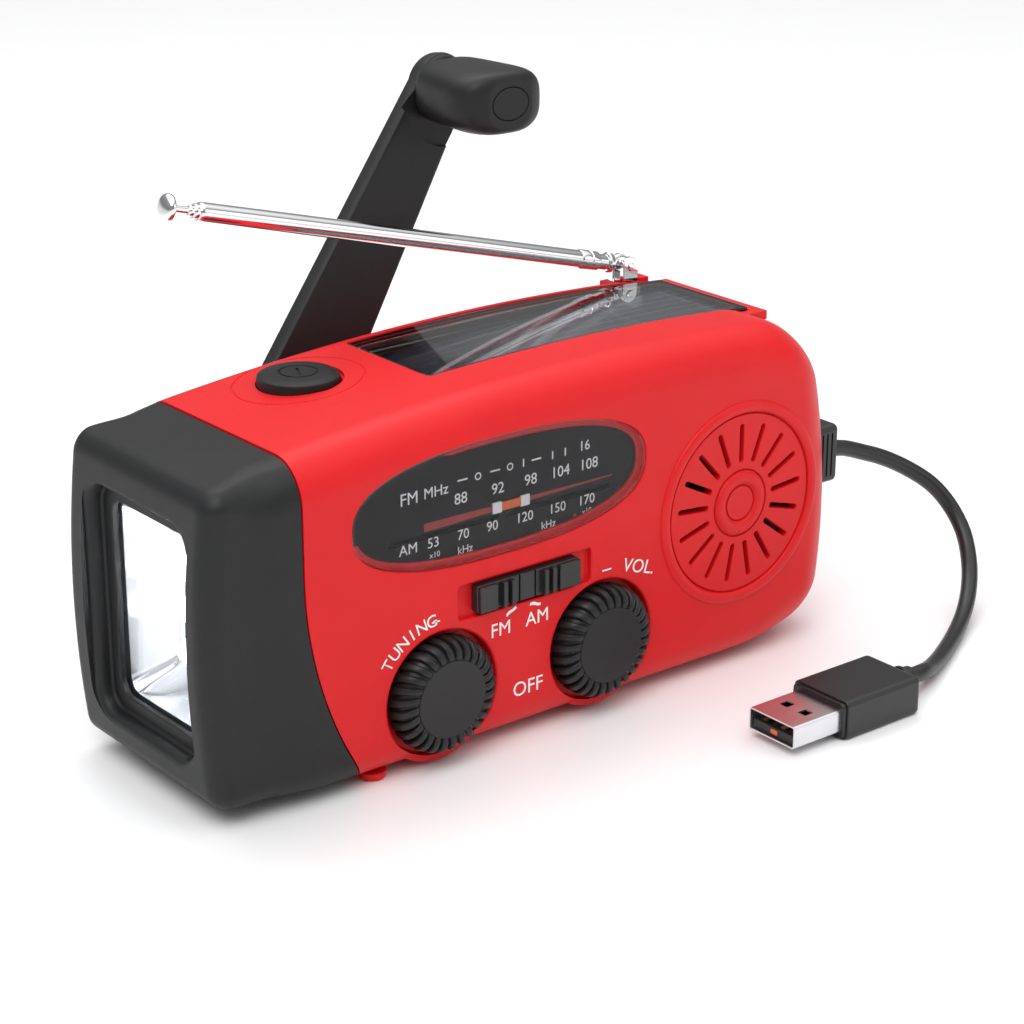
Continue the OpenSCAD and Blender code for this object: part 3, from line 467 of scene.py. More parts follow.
def piece(name, solids, mat, body, stands_for=(), sharp=34, cuts=()):
    """Piece made of one solid, others joined to it, and cutters taken away."""
    solids = solids if isinstance(solids, list) else [solids]
    obj = thing(name, solids[0])
    for s in solids[1:]:
        combine(obj, s, "UNION")
    for s in cuts:
        combine(obj, s)
    return polish(obj, mat, body, stands_for, sharp)


# ------------------------------------------------------------------ camera and cord

def add_camera():
    data = bpy.data.cameras.new("camera")
    data.lens, data.sensor_width = CAMERA_LENS, 36
    cam = bpy.data.objects.new("camera", data)
    bpy.context.scene.collection.objects.link(cam)
    az, el = math.radians(CAMERA_AZIMUTH), math.radians(CAMERA_ELEVATION)
    look = Vector((-math.sin(az) * math.cos(el), math.cos(az) * math.cos(el), -math.sin(el)))
    turn = look.to_track_quat("-Z", "Y").to_matrix().to_4x4()
    cam.matrix_world = Matrix.Translation(Vector(CAMERA_AT) * MM) @ turn
    bpy.context.scene.camera = cam


def smooth_route(points, parts=4):
    p = np.array([points[0]] + list(points) + [points[-1]], float)
    out = []
    for i in range(1, len(p) - 2):
        a, b, c, d = p[i - 1:i + 3]
        for k in range(parts):
            t = k / parts
            out.append(0.5 * (2 * b + (c - a) * t + (2 * a - 5 * b + 4 * c - d) * t * t
                              + (3 * b - a - 3 * c + d) * t ** 3))
    return np.array(out + [p[-2]])


def add_cord():
    path = smooth_route(ROUTE)
    data = bpy.data.curves.new("charging_cable", "CURVE")
    data.dimensions = "3D"
    data.bevel_depth, data.bevel_resolution = CABLE_D / 2 * MM, 6
    data.use_fill_caps = True
    spline = data.splines.new("POLY")
    spline.points.add(len(path) - 1)
    for point, p in zip(spline.points, path):
        point.co = (*(p * MM), 1)
    spline.use_smooth = True
    cable = bpy.data.objects.new("charging_cable", data)
    bpy.context.scene.collection.objects.link(cable)
    data.materials.append(CABLE)
    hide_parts("usb_cable")
    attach(cable, "case")
    length = float(np.linalg.norm(np.diff(path, axis=0), axis=1).sum())
    return cable, length * MM


add_camera()
cable, cable_length = add_cord()


# ------------------------------------------------------------------ smooth body forms

def rmax(a, b, r):
    """Larger of two distances, with a round corner of radius r where they meet."""
    u, v = np.maximum(a + r, 0), np.maximum(b + r, 0)
    return np.minimum(np.maximum(a + r, b + r), 0) + np.hypot(u, v) - r


def ease(t):
    t = np.clip(t, 0, 1)
    return t * t * (3 - 2 * t)


def crown(x, z):
    return np.hypot(x - CROWN_X, z - (CROWN_TOP - CROWN_R)) - CROWN_R


def long_edge(y, z):
    """Radius of the case's long edges: rounder high on the front."""
    return np.where(y < 0, 6 + 2 * ease((z - 20) / 30), 6.0)


def case_field(x, y, z):
    right = np.hypot(x - (CASE_END - BULGE_R), z - BULGE_Z) - BULGE_R
    side = rmax(rmax(BASE - z, right, 11.0), crown(x, z), 13.0)
    edge = long_edge(y, z)
    edge = edge + (13 - edge) * ease((x - 48) / 22)
    return rmax(side, abs(y) - HALF_DEPTH, edge)


def torch_field(x, y, z):
    rim = np.hypot(x - 125.0, z - 31.0) - 201.8
    slope = (z - 64.95 - (x + 57.5) * 0.165) * 0.986
    top = rmax(crown(x, z), slope, 1.0)
    bottom = BASE + np.maximum(0, -52 - x) * 0.07 - z
    side = rmax(rmax(bottom, rim, 3.5), top, 3.5)
    taper = HALF_DEPTH - np.where(y < 0, 1.9, 1.3) * ease((-55 - x) / 18)
    edge = long_edge(y, z)
    edge = edge + (np.where(y < 0, 4.2, 2.6) - edge) * ease((-63 - x) / 9)
    return rmax(side, abs(y) - taper, edge)


def spaced(*stops):
    """Grid lines: stops as (value, step to the next)."""
    out = []
    for (a, step), (b, _) in zip(stops, stops[1:]):
        n = max(1, round(abs(b - a) / step))
        out += [a + (b - a) * k / n for k in range(n)]
    return np.array(out + [stops[-1][0]])


def form(field, xs, ys, zs, core, inset=0.0):
    """Closed quad mesh of a smooth form, found by walking out from an inner box."""
    index, points, faces = {}, [], []
    size = (len(xs), len(ys), len(zs))

    def vert(key):
        if key not in index:
            index[key] = len(points)
            points.append((xs[key[0]], ys[key[1]], zs[key[2]]))
        return index[key]

    for axis in range(3):
        a, b = [k for k in range(3) if k != axis]
        for end in (0, size[axis] - 1):
            for i in range(size[a] - 1):
                for j in range(size[b] - 1):
                    quad = []
                    for di, dj in ((0, 0), (1, 0), (1, 1), (0, 1)):
                        key = [0, 0, 0]
                        key[axis], key[a], key[b] = end, i + di, j + dj
                        quad.append(vert(tuple(key)))
                    faces.append(quad)
    p = np.array(points)
    lo, hi = np.array(core[0], float), np.array(core[1], float)
    c = np.clip(p, lo, hi)
    near, far = np.zeros(len(p)), np.full(len(p), 1.0)
    for _ in range(40):
        mid = (near + far) / 2
        q = c + (p - c) * mid[:, None]
        inside = field(q[:, 0], q[:, 1], q[:, 2]) + inset < 0
        near, far = np.where(inside, mid, near), np.where(inside, far, mid)
    return c + (p - c) * near[:, None], faces


def seam_curve(shift):
    """Outline of the seam between torch and case, from the top down, moved by shift."""
    zs = np.linspace(SEAM_Z, -6, 40)
    xs = SEAM_X + SEAM_R - np.sqrt((SEAM_R - shift) ** 2 - (SEAM_Z - zs) ** 2)
    return [(SEAM_X + shift, 90)] + list(zip(xs, zs))


def case_form(inset=0.0, left=-66.0):
    xs = spaced((left, 4), (52, 1.1), (75.2, 1))
    ys = spaced((-25.2, 0.9), (-10, 3), (10, 0.9), (25.2, 1))
    zs = spaced((1.4, 0.9), (14, 3), (50, 0.9), (69.8, 1))
    return form(case_field, xs, ys, zs, ((left, -9, 14), (56, 9, 52)), inset)


def torch_form(inset=0.0):
    xs = spaced((-77.6, 0.6), (-60, 2), (-40, 1))
    ys = spaced((-25.2, 0.8), (-16, 3), (16, 0.8), (25.2, 1))
    zs = spaced((1.4, 0.8), (10, 3), (54, 0.8), (69.8, 1))
    return form(torch_field, xs, ys, zs, ((-66, -15, 10), (-40, 15, 54)), inset)


def crown_z(x):
    return CROWN_TOP - CROWN_R + math.sqrt(CROWN_R ** 2 - (x - CROWN_X) ** 2)


def closed_tube(path, r, n):
    """Round tube along points, closed on itself."""
    path = np.array(path, float)
    count = len(path)
    rings = []
    for i in range(count):
        t = path[(i + 1) % count] - path[i - 1]
        t = t / np.linalg.norm(t)
        u = np.cross(t, (0, 0, 1) if abs(t[2]) < 0.9 else (1, 0, 0))
        u /= np.linalg.norm(u)
        v = np.cross(u, t)
        rings.append([path[i] + r * (math.cos(a) * u + math.sin(a) * v)
                      for a in np.linspace(0, 2 * math.pi, n, endpoint=False)])
    verts, faces = loft(rings)
    last = (count - 1) * n
    seam = [[last + i, last + (i + 1) % n, (i + 1) % n, i] for i in range(n)]
    return verts, faces[1:-1] + seam


# ------------------------------------------------------------------ case

def case_shell(name):
    """Hollow case form, open at the torch seam."""
    obj = thing(name, case_form())
    combine(obj, case_form(WALL, -70))
    combine(obj, prism_y([(-90, 90)] + seam_curve(SEAM_GAP) + [(-90, -6)], -40, 40))
    return obj


def front_case():
    obj = case_shell("case_front")
    combine(obj, block(-90, 90, PART_Y, 40, -10, 90))
    # cups behind the knobs
    for x, z in (TUNING, VOLUME):
        combine(obj, moved(slab(circle(RECESS_R + 1.2), 20.2, 23.5), on_front(x, z)), "UNION")
    # raised rings of the speaker grille
    for r, a, b in ((19.55, 1.15, 0.6), (5.2, 1.15, 0.5)):
        combine(obj, moved(hoop(r, a, b, FRONT), on_front(*SPEAKER)), "UNION")
    for r in (18.2, 6.75, 3.6):
        combine(obj, moved(hoop(r, 0.22, 0.45, FRONT), on_front(*SPEAKER)))
    slot = rounded(8.4, 16.2, -0.55, 0.55, 0.5, 4)
    slots = [turned(sink(slot, FRONT, 20.5, 0.18, 0.1, 3),
                    math.radians(90 + i * 360 / GRILLE_SLOTS)) for i in range(GRILLE_SLOTS)]
    combine(obj, moved(merged(slots), on_front(*SPEAKER)))
    # dial window, seated on a ledge
    combine(obj, moved(slab(oval(*(h - 1.2 for h in DIAL_HALF), DIAL_POWER), 20, 30),
                       on_front(*DIAL)))
    combine(obj, moved(sink(oval(*(h + 0.12 for h in DIAL_HALF), DIAL_POWER), FRONT, 23.4, 0.35,
                            0.05), on_front(*DIAL)))
    for x, z in (TUNING, VOLUME):
        combine(obj, moved(sink(circle(RECESS_R, 96), FRONT, 22, 0.6, 0.5), on_front(x, z)))
        combine(obj, moved(slab(circle(3.4, 32), 19, 30), on_front(x, z)))
    # band switch
    combine(obj, moved(sink(rounded(*SLOT_X, *SLOT_Z, 0.8), FRONT, 23.8, 0.35, 0.2), on_front()))
    combine(obj, moved(slab(rounded(-16.5, -1.2, 29.8, 32.4, 0.3), 20, 30), on_front()))
    # power button, with a fine groove round it
    combine(obj, moved(sink(circle(7.9, 72), 67.3, 58, 0.5, 0.1), on_top(*BUTTON)))
    ring = [(BUTTON[0] + 12.4 * math.cos(a), BUTTON[1] + 11.3 * math.sin(a))
            for a in np.linspace(0, 2 * math.pi, 96, endpoint=False)]
    combine(obj, closed_tube([(x, y, crown_z(x) + 0.08) for x, y in ring], 0.3, 10))
    # solar window seat and the opening under it
    x0, x1, y0, y1 = *SOLAR_X, *SOLAR_Y
    pad = block(x0 - 2.5, x1 + 2.5, y0 - 2.5, PART_Y - 0.2, SOLAR_FLOOR - 1.2, SOLAR_FLOOR + 0.6)
    combine(obj, pad, "UNION")
    combine(obj, slab(rounded(x0 - 0.15, x1 + 0.15, y0 - 0.15, y1 + 0.15, 1.0), SOLAR_FLOOR, 80))
    combine(obj, slab(rounded(x0 + 1.5, x1 - 1.5, y0 + 1.5, y1 - 1.5, 1.0), 60, 80))
    # charging socket and antenna seat
    combine(obj, moved(slab(rounded(-3.6, 3.6, -7, 7, 1.0), 73.0, 80), on_right(*PLUG)))
    combine(obj, moved(slab(rounded(-1.7, 1.7, -4.2, 4.2, 0.6), 60, 80), on_right(*PLUG)))
    combine(obj, moved(slab(circle(3.3, 40), 50, 90), on_top(*ANTENNA[:2])))
    polish(obj, RED, "case", ["front_case"])


def rear_case():
    obj = case_shell("case_rear")
    combine(obj, block(-90, 90, -40, PART_Y + 0.12, -10, 90))
    px, pz = POCKET_X, POCKET_Z
    cup = rounded(px - 11.75, px + 11.75, pz - 13.5, pz + 13.5, 8.5)
    cup[:, 0] *= -1
    combine(obj, moved(slab(cup[::-1], 1.0, 24.2), on_rear()), "UNION")
    combine(obj, moved(slab(circle(16, 128), 21, BOSS_Y, 0, 1.2, 6), on_rear(*HUB)), "UNION")
    combine(obj, block(ANTENNA[0] - 5, ANTENNA[0] + 5, PART_Y + 0.12, 24.2, 54, 68.0), "UNION")
    pocket = rounded(-(px + 10.25), -(px - 10.25), pz - 12, pz + 12, 7)
    combine(obj, moved(sink(pocket, HALF_DEPTH, 2.5, 0.8, 1.5, 5), on_rear()))
    combine(obj, moved(slab(circle(2.55, 40), 10, 40), on_rear(*HUB)))
    combine(obj, moved(slab(circle(13, 64), 10, 22.8), on_rear(*HUB)))
    combine(obj, moved(hoop(14.4, 0.25, 0.3, BOSS_Y), on_rear(*HUB)))
    combine(obj, moved(slab(circle(1.6, 32), 56, 90), on_top(*ANTENNA[:2])))
    combine(obj, moved(slab(circle(3.3, 40), 67.2, 90), on_top(*ANTENNA[:2])))
    for x, z in SCREWS:
        combine(obj, moved(sink(circle(2.95, 40), HALF_DEPTH, 23.6, 0.3, 0.1), on_rear(x, z)))
        combine(obj, moved(slab(circle(1.6, 24), 10, 40), on_rear(x, z)))
    polish(obj, RED, "case", ["rear_cover"])


def feet():
    profile = [(1.9, 0), (2.3, 0.15), (2.6, 0.6), (2.6, 1.57)]
    for x, y in FEET:
        piece(f"foot_{'front' if y < 0 else 'rear'}_{'left' if x < 0 else 'right'}",
              moved(lathe(profile, 40), on_top(x, y)), RED, "case", ["feet"])


def torch():
    obj = thing("torch_shell", torch_form())
    combine(obj, prism_y([(30, 90)] + seam_curve(-SEAM_GAP) + [(30, -6)], -40, 40))
    inner = thing("inner", torch_form(WALL))
    combine(inner, block(-90, -71.5, -40, 40, -10, 90))
    coords = np.array([v.co for v in inner.data.vertices]) / MM
    combine(obj, (coords, [list(f.vertices) for f in inner.data.polygons]))
    bpy.data.objects.remove(inner)
    face = rounded(-16.5, 15.5, 10.6, 54.6, 4.5)
    window = rounded(-13.5, 12.5, 13.6, 51.6, 3.2)
    combine(obj, moved(sink(face, 75.6, 72.6, 1.6, 0.6, 5), on_left()))
    combine(obj, moved(sink(window, 72.6, 66, 0.3, 0.1), on_left()))
    polish(obj, CHARCOAL, "case", ["torch_head"])
    glass = rounded(-15.9, 14.9, 11.2, 54.0, 4.1)
    piece("torch_glass", moved(slab(glass, 69.9, 71.3, 0.1, 0.35), on_left()), CLEAR, "case",
          ["torch_lens"])


front_case()
rear_case()
feet()
torch()


# ------------------------------------------------------------------ lettering

def letters(text, u, v, height, w, angle=0.0, depth=INK):
    """Solid letters of the given capital height, standing on height w."""
    data = bpy.data.curves.new("letters", "FONT")
    data.body, data.size = text, height / 0.7
    data.align_x, data.align_y = "CENTER", "CENTER"
    data.extrude = depth / 2
    data.resolution_u = 3
    obj = bpy.data.objects.new("letters", data)
    bpy.context.scene.collection.objects.link(obj)
    deps = bpy.context.evaluated_depsgraph_get()
    mesh = bpy.data.meshes.new_from_object(obj.evaluated_get(deps))
    verts = np.array([tuple(p.co) for p in mesh.vertices])
    faces = [list(f.vertices) for f in mesh.polygons]
    bpy.data.objects.remove(obj)
    verts, faces = turned((verts, faces), angle)
    return verts + (u, v, w + depth / 2), faces


def bar(u0, u1, v0, v1, w, depth=INK):
    return slab(np.array([(u0, v0), (u1, v0), (u1, v1), (u0, v1)], float), w, w + depth)


def printed(name, solids, mat, body="case", place=None):
    obj = thing(name, moved(merged(solids), on_front() if place is None else place))
    polish(obj, mat, body, sharp=20)


def dial():
    w = PLATE_W + 0.01
    rows = [("FM", -33.9, 53.0, 2.3), ("MHz", -28.0, 53.1, 2.0)]
    rows += [(t, x, 50.5, 2.1) for t, x in zip(("88", "92", "98", "104", "108"),
                                             (-22.5, -14.1, -6.5, 0.5, 7.3))]
    rows += [("AM", -34.2, 43.55, 2.0)]
    rows += [(t, x, 43.55, 1.9) for t, x in zip(("53", "70", "90", "120", "150", "170"),
                                             (-28.7, -22.0, -15.4, -7.9, -0.2, 6.8))]
    rows += [("kHz", -21.6, 40.6, 1.5), ("kHz", -2.3, 40.8, 1.5), ("x10", -28.4, 41.2, 1.1),
             ("x10", 6.9, 41.3, 1.1), ("16", 6.2, 54.3, 1.9)]
    marks = [letters(t, x, z, h, w) for t, x, z, h in rows]
    marks += [bar(x - 1.1, x + 1.1, z - 0.15, z + 0.15, w)
              for x, z in ((-22.1, 54.0), (-14.7, 54.1), (-5.2, 54.2))]
    marks += [bar(x - 0.14, x + 0.14, 53.4, 54.9, w) for x in (-8.2, -1.4, 1.6)]
    marks += [moved(hoop(0.6, 0.13, 0.03, w + 0.02, 24, 6), on_top(x, z))
              for x, z in ((-18.6, 53.9), (-11.3, 54.1))]
    printed("dial_numbers", marks, PRINT_WHITE)
    wedge = np.array([(-30.7, 46.0), (13.0, 47.05), (13.0, 47.25), (-30.7, 47.6)])
    dot = slab(circle(0.35, 20) + (4.0, 41.2), w, w + INK)
    printed("dial_scale", [slab(wedge, w, w + 0.03), dot], PRINT_RED)
    glass = oval(*DIAL_HALF, DIAL_POWER)
    piece("dial_glass", moved(slab(glass, 23.45, 25.25, 0.1, 0.5, 5), on_front(*DIAL)), SMOKED,
          "case", ["dial_window"])
    # pointer flag between two white marks, on a thin black stem
    (x0, x1), (z0, z1) = POINTER_X, POINTER_Z
    stem = [bar(-14.3, -12.7, z0 - 1.2, z0 + 0.1, 22.9, 0.3),
            bar(-14.3, -12.7, z0 - 1.2, z0 - 0.6, 21.2, 2.0),
            bar(-14.3, -12.7, 35.5, z0 - 0.6, 21.2, 0.6)]
    piece("pointer_stem", [moved(s, on_front()) for s in stem], PRINT_BLACK, "pointer")
    flag = rounded(x0 + 2.0, x1 - 2.0, z0 + 0.25, z1 - 0.25, 0.15, 3)
    piece("pointer_flag", moved(slab(flag, 22.87, 23.2, 0.05, 0.05), on_front()), ORANGE,
          "pointer", ["dial_pointer"])
    ends = [slab(rounded(a, a + 2.05, z0, z1, 0.15, 3), 22.86, 23.22, 0.05, 0.05)
            for a in (x0, x1 - 2.05)]
    printed("pointer_marks", ends, PRINT_WHITE, "pointer")


def case_lettering():
    w = FRONT + 0.005
    marks = [letters("OFF", -8.5, 10.4, 2.9, w), letters("FM", -14.9, 23.7, 2.7, w),
             letters("AM", -6.3, 23.9, 2.7, w), letters("VOL.", 18.5, 27.8, 2.7, w, -0.3),
             bar(9.4, 11.6, 29.0, 29.3, w), bar(-30.6, -28.8, 29.0, 29.3, w)]
    for k, t in enumerate("TUNING"):
        a = math.radians(143.5 - 8.9 * k)
        x, z = TUNING[0] + 15.0 * math.cos(a), TUNING[1] + 15.0 * math.sin(a)
        marks.append(letters(t, x, z, 2.4, w, a - math.pi / 2))
    wave = np.array([(-1.3, -0.35), (-0.4, -0.1), (0.5, -0.15), (1.3, 0.0), (1.2, 0.5),
                     (0.4, 0.4), (-0.5, 0.5), (-1.3, 0.2)])
    for x, lean in ((-12.4, 0.35), (-6.8, -0.35)):
        marks.append(moved(turned(slab(wave, w, w + INK), lean), on_top(x, 26.6)))
    printed("case_lettering", marks, PRINT_WHITE)


# ------------------------------------------------------------------ controls

KNOB_SHOULDER = [(7.2, 27.55), (8.3, 27.75), (9.5, 27.3), (10.35, 26.3), (10.75, 24.9),
                 (10.8, 23.4), (10.6, 22.5)]


def knob_lug(angle):
    """One finger lug, lying over the knob's shoulder with a slight twist."""
    rings = []
    count = len(KNOB_SHOULDER)
    for k, (r, w) in enumerate(KNOB_SHOULDER):
        r0, w0 = KNOB_SHOULDER[max(k - 1, 0)]
        r1, w1 = KNOB_SHOULDER[min(k + 1, count - 1)]
        length = math.hypot(r1 - r0, w1 - w0)
        out_r, out_w = -(w1 - w0) / length, (r1 - r0) / length
        half = 0.62 + 0.24 * k / (count - 1)
        high = 0.5 * math.sin(math.pi * (k + 0.75) / (count + 0.5)) + 0.05
        twist = angle + 0.2 * (k / (count - 1)) ** 1.3
        ring = []
        for side, lift_by in ((-1, -0.7), (-1, 0.1), (-0.72, 0.75), (0, 1.0), (0.72, 0.75),
                              (1, 0.1), (1, -0.7)):
            rr = r + out_r * high * lift_by
            ww = w + out_w * high * lift_by
            t = side * half
            ring.append((rr * math.cos(twist) - t * math.sin(twist),
                         rr * math.sin(twist) + t * math.cos(twist), ww))
        rings.append(np.array(ring))
    return loft(rings)


def knob(name, at, body, stands_for):
    profile = [(3.02, 22.35), (9.9, 22.35), (10.3, 22.7), (10.4, 24.6), (9.95, 26.1),
               (8.9, 27.2), (7.9, 27.5), (7.55, 27.62), (7.42, 27.92), (7.15, 28.0),
               (4, 27.9), (1, 27.86), (0.02, 27.85)]
    bore = slab(circle(3.0, 32), 20, 25.9)
    lugs = [knob_lug(2 * math.pi * i / KNOB_LUGS) for i in range(KNOB_LUGS)]
    obj = thing(name, moved(lathe(profile, 112), on_front(*at)))
    combine(obj, moved(merged(lugs), on_front(*at)), "UNION")
    combine(obj, moved(bore, on_front(*at)))
    polish(obj, KNOB, body, [stands_for], 40)


def band_slider():
    x0, x1 = SLIDER_X
    z0, z1 = SLOT_Z[0] + 0.7, SLOT_Z[1] - 0.7
    solids = [moved(slab(rounded(x0, x1, z0, z1, 0.5, 4), 23.95, 25.7, 0.1, 0.3), on_front()),
              moved(slab(rounded(-12.2, -5.4, 30.0, 32.2, 0.3, 3), 17.5, 24.2), on_front())]
    for a, b, top in ((-20.6, -16.5, 26.5), (-15.5, -14.5, 26.9), (-13.6, -12.6, 26.9),
                      (-5.9, -4.9, 26.9), (-4.0, -3.0, 26.9), (-2.0, 3.0, 26.5)):
        solids.append(moved(slab(rounded(a, b, z0 + 0.15, z1 - 0.15, 0.3, 3), 25.3, top, 0,
                                 0.25), on_front()))
    grooves = [moved(sink(rounded(a, a + 0.35, z0 - 1, z1 + 1, 0.1, 2), 25.7, 25.2, 0.1, 0.05),
                     on_front()) for a in (-11.2, -7.5)]
    piece("band_slider_cap", solids, CAD_LOOKS["control_black"], "slider", ["band_slider"],
          cuts=grooves)


def power_button():
    profile = [(0.02, 63.1), (8.5, 63.1), (8.5, 64.1), (7.7, 64.1), (7.7, 67.9), (7.5, 68.35),
               (6.9, 68.72), (5.6, 68.9), (3, 68.98), (0.02, 69.0)]
    solid = moved(lathe(profile, 96), on_top(*BUTTON))
    ring = moved(hoop(3.5, 0.26, 0.3, 68.98, 64, 8), on_top(*BUTTON))
    slash = moved(turned(sink(rounded(-0.24, 0.24, -2.1, 2.1, 0.2, 3), 69, 68.65, 0.1, 0.05),
                         math.radians(-28)), on_top(*BUTTON))
    piece("power_cap", solid, RUBBER, "button", ["power_button"],
          cuts=[ring, slash])


def solar():
    x0, x1, y0, y1 = *SOLAR_X, *SOLAR_Y
    cx, cy, hx, hy = (x0 + x1) / 2, (y0 + y1) / 2, (x1 - x0) / 2, (y1 - y0) / 2

    def field(x, y, z):
        plan = rmax(abs(x - cx) - hx, abs(y - cy) - hy, 0.9)
        return rmax(np.maximum(plan, SOLAR_FLOOR - z), crown(x, z) + 0.12, 0.5)

    xs = spaced((x0 - 0.1, 0.2), (x0 + 2, 2.5), (x1 - 2, 0.2), (x1 + 0.1, 1))
    ys = spaced((y0 - 0.1, 0.2), (y0 + 2, 2.5), (y1 - 2, 0.2), (y1 + 0.1, 1))
    zs = spaced((66.1, 0.3), (69.6, 1))
    cover = form(field, xs, ys, zs, ((x0 + 1.5, y0 + 1.5, 66.6), (x1 - 1.5, y1 - 1.5, 66.9)))
    piece("solar_cover", cover, CLEAR, "case", ["solar_window"])
    frame_out = rounded(x0 + 0.3, x1 - 0.3, y0 + 0.3, y1 - 0.3, 0.8)
    frame_in = rounded(x0 + 2.4, x1 - 2.4, y0 + 2.4, y1 - 2.4, 0.6)
    piece("solar_frame", slab(frame_out, 64.75, 65.95), PRINT_BLACK, "case",
          cuts=[slab(frame_in, 60, 70)])
    tip = np.array([(-9.6, 0.3), (-6.4, -1.6), (-6.4, 2.2)])
    printed("solar_mark", [slab(tip, 64.62, 64.68)], PRINT_RED,
            place=on_top())


def lamp_parts():
    """Reflector with four sloping walls, and domed lamps."""
    outer = rounded(-15, 14, 12, 53.2, 3.5)
    cup = [lift(rounded(-13.3, 12.3, 13.8, 51.4, 3.0), 69.8),
           lift(rounded(-12.4, 11.4, 15.2, 50.0, 2.6), 67.4),
           lift(rounded(-9.6, 8.6, 18.2, 47.0, 2.0), 63.6),
           lift(rounded(-8.2, 7.2, 20.0, 45.0, 1.6), 62.2)]
    cuts = [moved(loft(cup[::-1]), on_left())]
    for _, z in LAMPS:
        cuts.append(moved(slab(circle(LAMP_R + 0.2, 40), 60, 63), on_left(LAMP_Y, z)))
    piece("torch_cup", moved(slab(outer, 61.2, 69.7), on_left()), MIRROR, "case",
          ["torch_reflector"], cuts=cuts)
    dome = [(0.02, 60.6), (LAMP_R, 60.6), (LAMP_R, 64.5)]
    dome += [(LAMP_R * math.cos(a), 64.5 + LAMP_R * math.sin(a))
             for a in np.linspace(0.2, 1.56, 8)]
    for name, z in LAMPS:
        piece(f"torch_lamp_{name}", moved(lathe(dome, 40), on_left(LAMP_Y, z)), LAMP, "case",
              ["torch_leds"])


dial()
case_lettering()
knob("tuning_dial_knob", TUNING, "tuning", "tuning_knob")
knob("volume_dial_knob", VOLUME, "volume", "volume_knob")
band_slider()
power_button()
solar()
lamp_parts()


# ------------------------------------------------------------------ antenna

def drawn_tube(name, profile, bore, start, end, body, stands_for):
    """Hollow drawn tube of the antenna."""
    cuts = [slab(circle(bore, 40), start - 1, end + 1)] if bore else []
    piece(name, moved(lathe(profile, 64), ON_ANTENNA), CHROME, body, stands_for,
          30, cuts=[moved(c, ON_ANTENNA) for c in cuts])


def antenna():
    mast = [(0.5, 3.2), (1.5, 3.4), (1.95, 3.9), (2.1, 4.3), (2.1, 5.1), (1.9, 5.4), (1.6, 5.5),
            (1.6, 7.7), (1.8, 8.0), (2.02, 8.2), (2.05, 8.5), (2.05, 10.0), (1.9, 10.15),
            (1.9, 10.45), (2.05, 10.6), (2.05, 12.5), (1.95, 12.8), (1.85, 12.95),
            (1.85, 104.3), (1.8, 104.7), (1.68, 105.0), (0.02, 105.0)]
    obj = thing("antenna_mast", moved(lathe([(0.02, 3.2)] + mast, 64), ON_ANTENNA))
    ax, ay, az = ANTENNA
    eye = slab(circle(1.8, 40), -1, 1, 0.15, 0.15)
    combine(obj, moved(eye, on_pin(ANTENNA)), "UNION")
    combine(obj, moved(slab(rounded(-1, 1, -1, 1, 0.2, 3), 0, 4.6), ON_ANTENNA), "UNION")
    pin = [(0.02, -2.62), (0.6, -2.6), (0.8, -2.4), (0.8, 2.4), (0.6, 2.6), (0.02, 2.62)]
    combine(obj, moved(lathe(pin, 32), on_pin(ANTENNA)), "UNION")
    combine(obj, moved(slab(circle(1.48, 48), 14, 106), ON_ANTENNA))
    polish(obj, CHROME, "antenna_mast", ["antenna_tube_1"], 30)

    for k, (r, bore, a, b) in enumerate(((1.45, 1.08, 15, 106), (1.05, 0.68, 16, 107)), 2):
        body = "antenna_middle" if k == 2 else "antenna_upper"
        profile = [(0.02, a), (r - 0.1, a), (r, a + 0.3), (r, b - 0.3), (r - 0.04, b - 0.15),
                   (r - 0.15, b), (0.02, b)]
        drawn_tube(f"antenna_section_{k}", profile, bore, a, b, body, [f"antenna_tube_{k}"])
    cap = [(0.02, 17), (0.55, 17), (0.65, 17.2), (0.65, 110.6), (0.9, 110.75), (2.2, 110.85),
           (2.5, 111.05), (2.6, 111.4), (2.55, 111.8), (2.3, 112.15), (1.8, 112.4),
           (1.0, 112.55), (0.02, 112.6)]
    drawn_tube("antenna_top", cap, 0, 0, 0, "antenna_rod", ["antenna_tip"])

    stem = [(0.02, 60.2), (1, 60.2), (1, 67.2), (2.1, 67.2), (2.3, 67.4), (2.3, 68.1),
            (2.1, 68.3), (0.02, 68.3)]
    fork = np.array([(-2, 67.6), (2, 67.6)] + [(2 * math.cos(a), az + 2 * math.sin(a))
                                               for a in np.linspace(0, math.pi, 18)])
    solids = [moved(lathe(stem, 48), on_top(ax, ay))]
    for lo in (-2.3, 1.1):
        solids.append(moved(slab(fork, lo, lo + 1.2, 0.15, 0.15), on_pin((ax, ay, 0))))
    hole = moved(slab(circle(0.84, 32), -6, 6), on_pin(ANTENNA))
    piece("antenna_fork", solids, CHROME, "antenna_swivel", ["antenna_elbow"],
          30, cuts=[hole])


# ------------------------------------------------------------------ crank

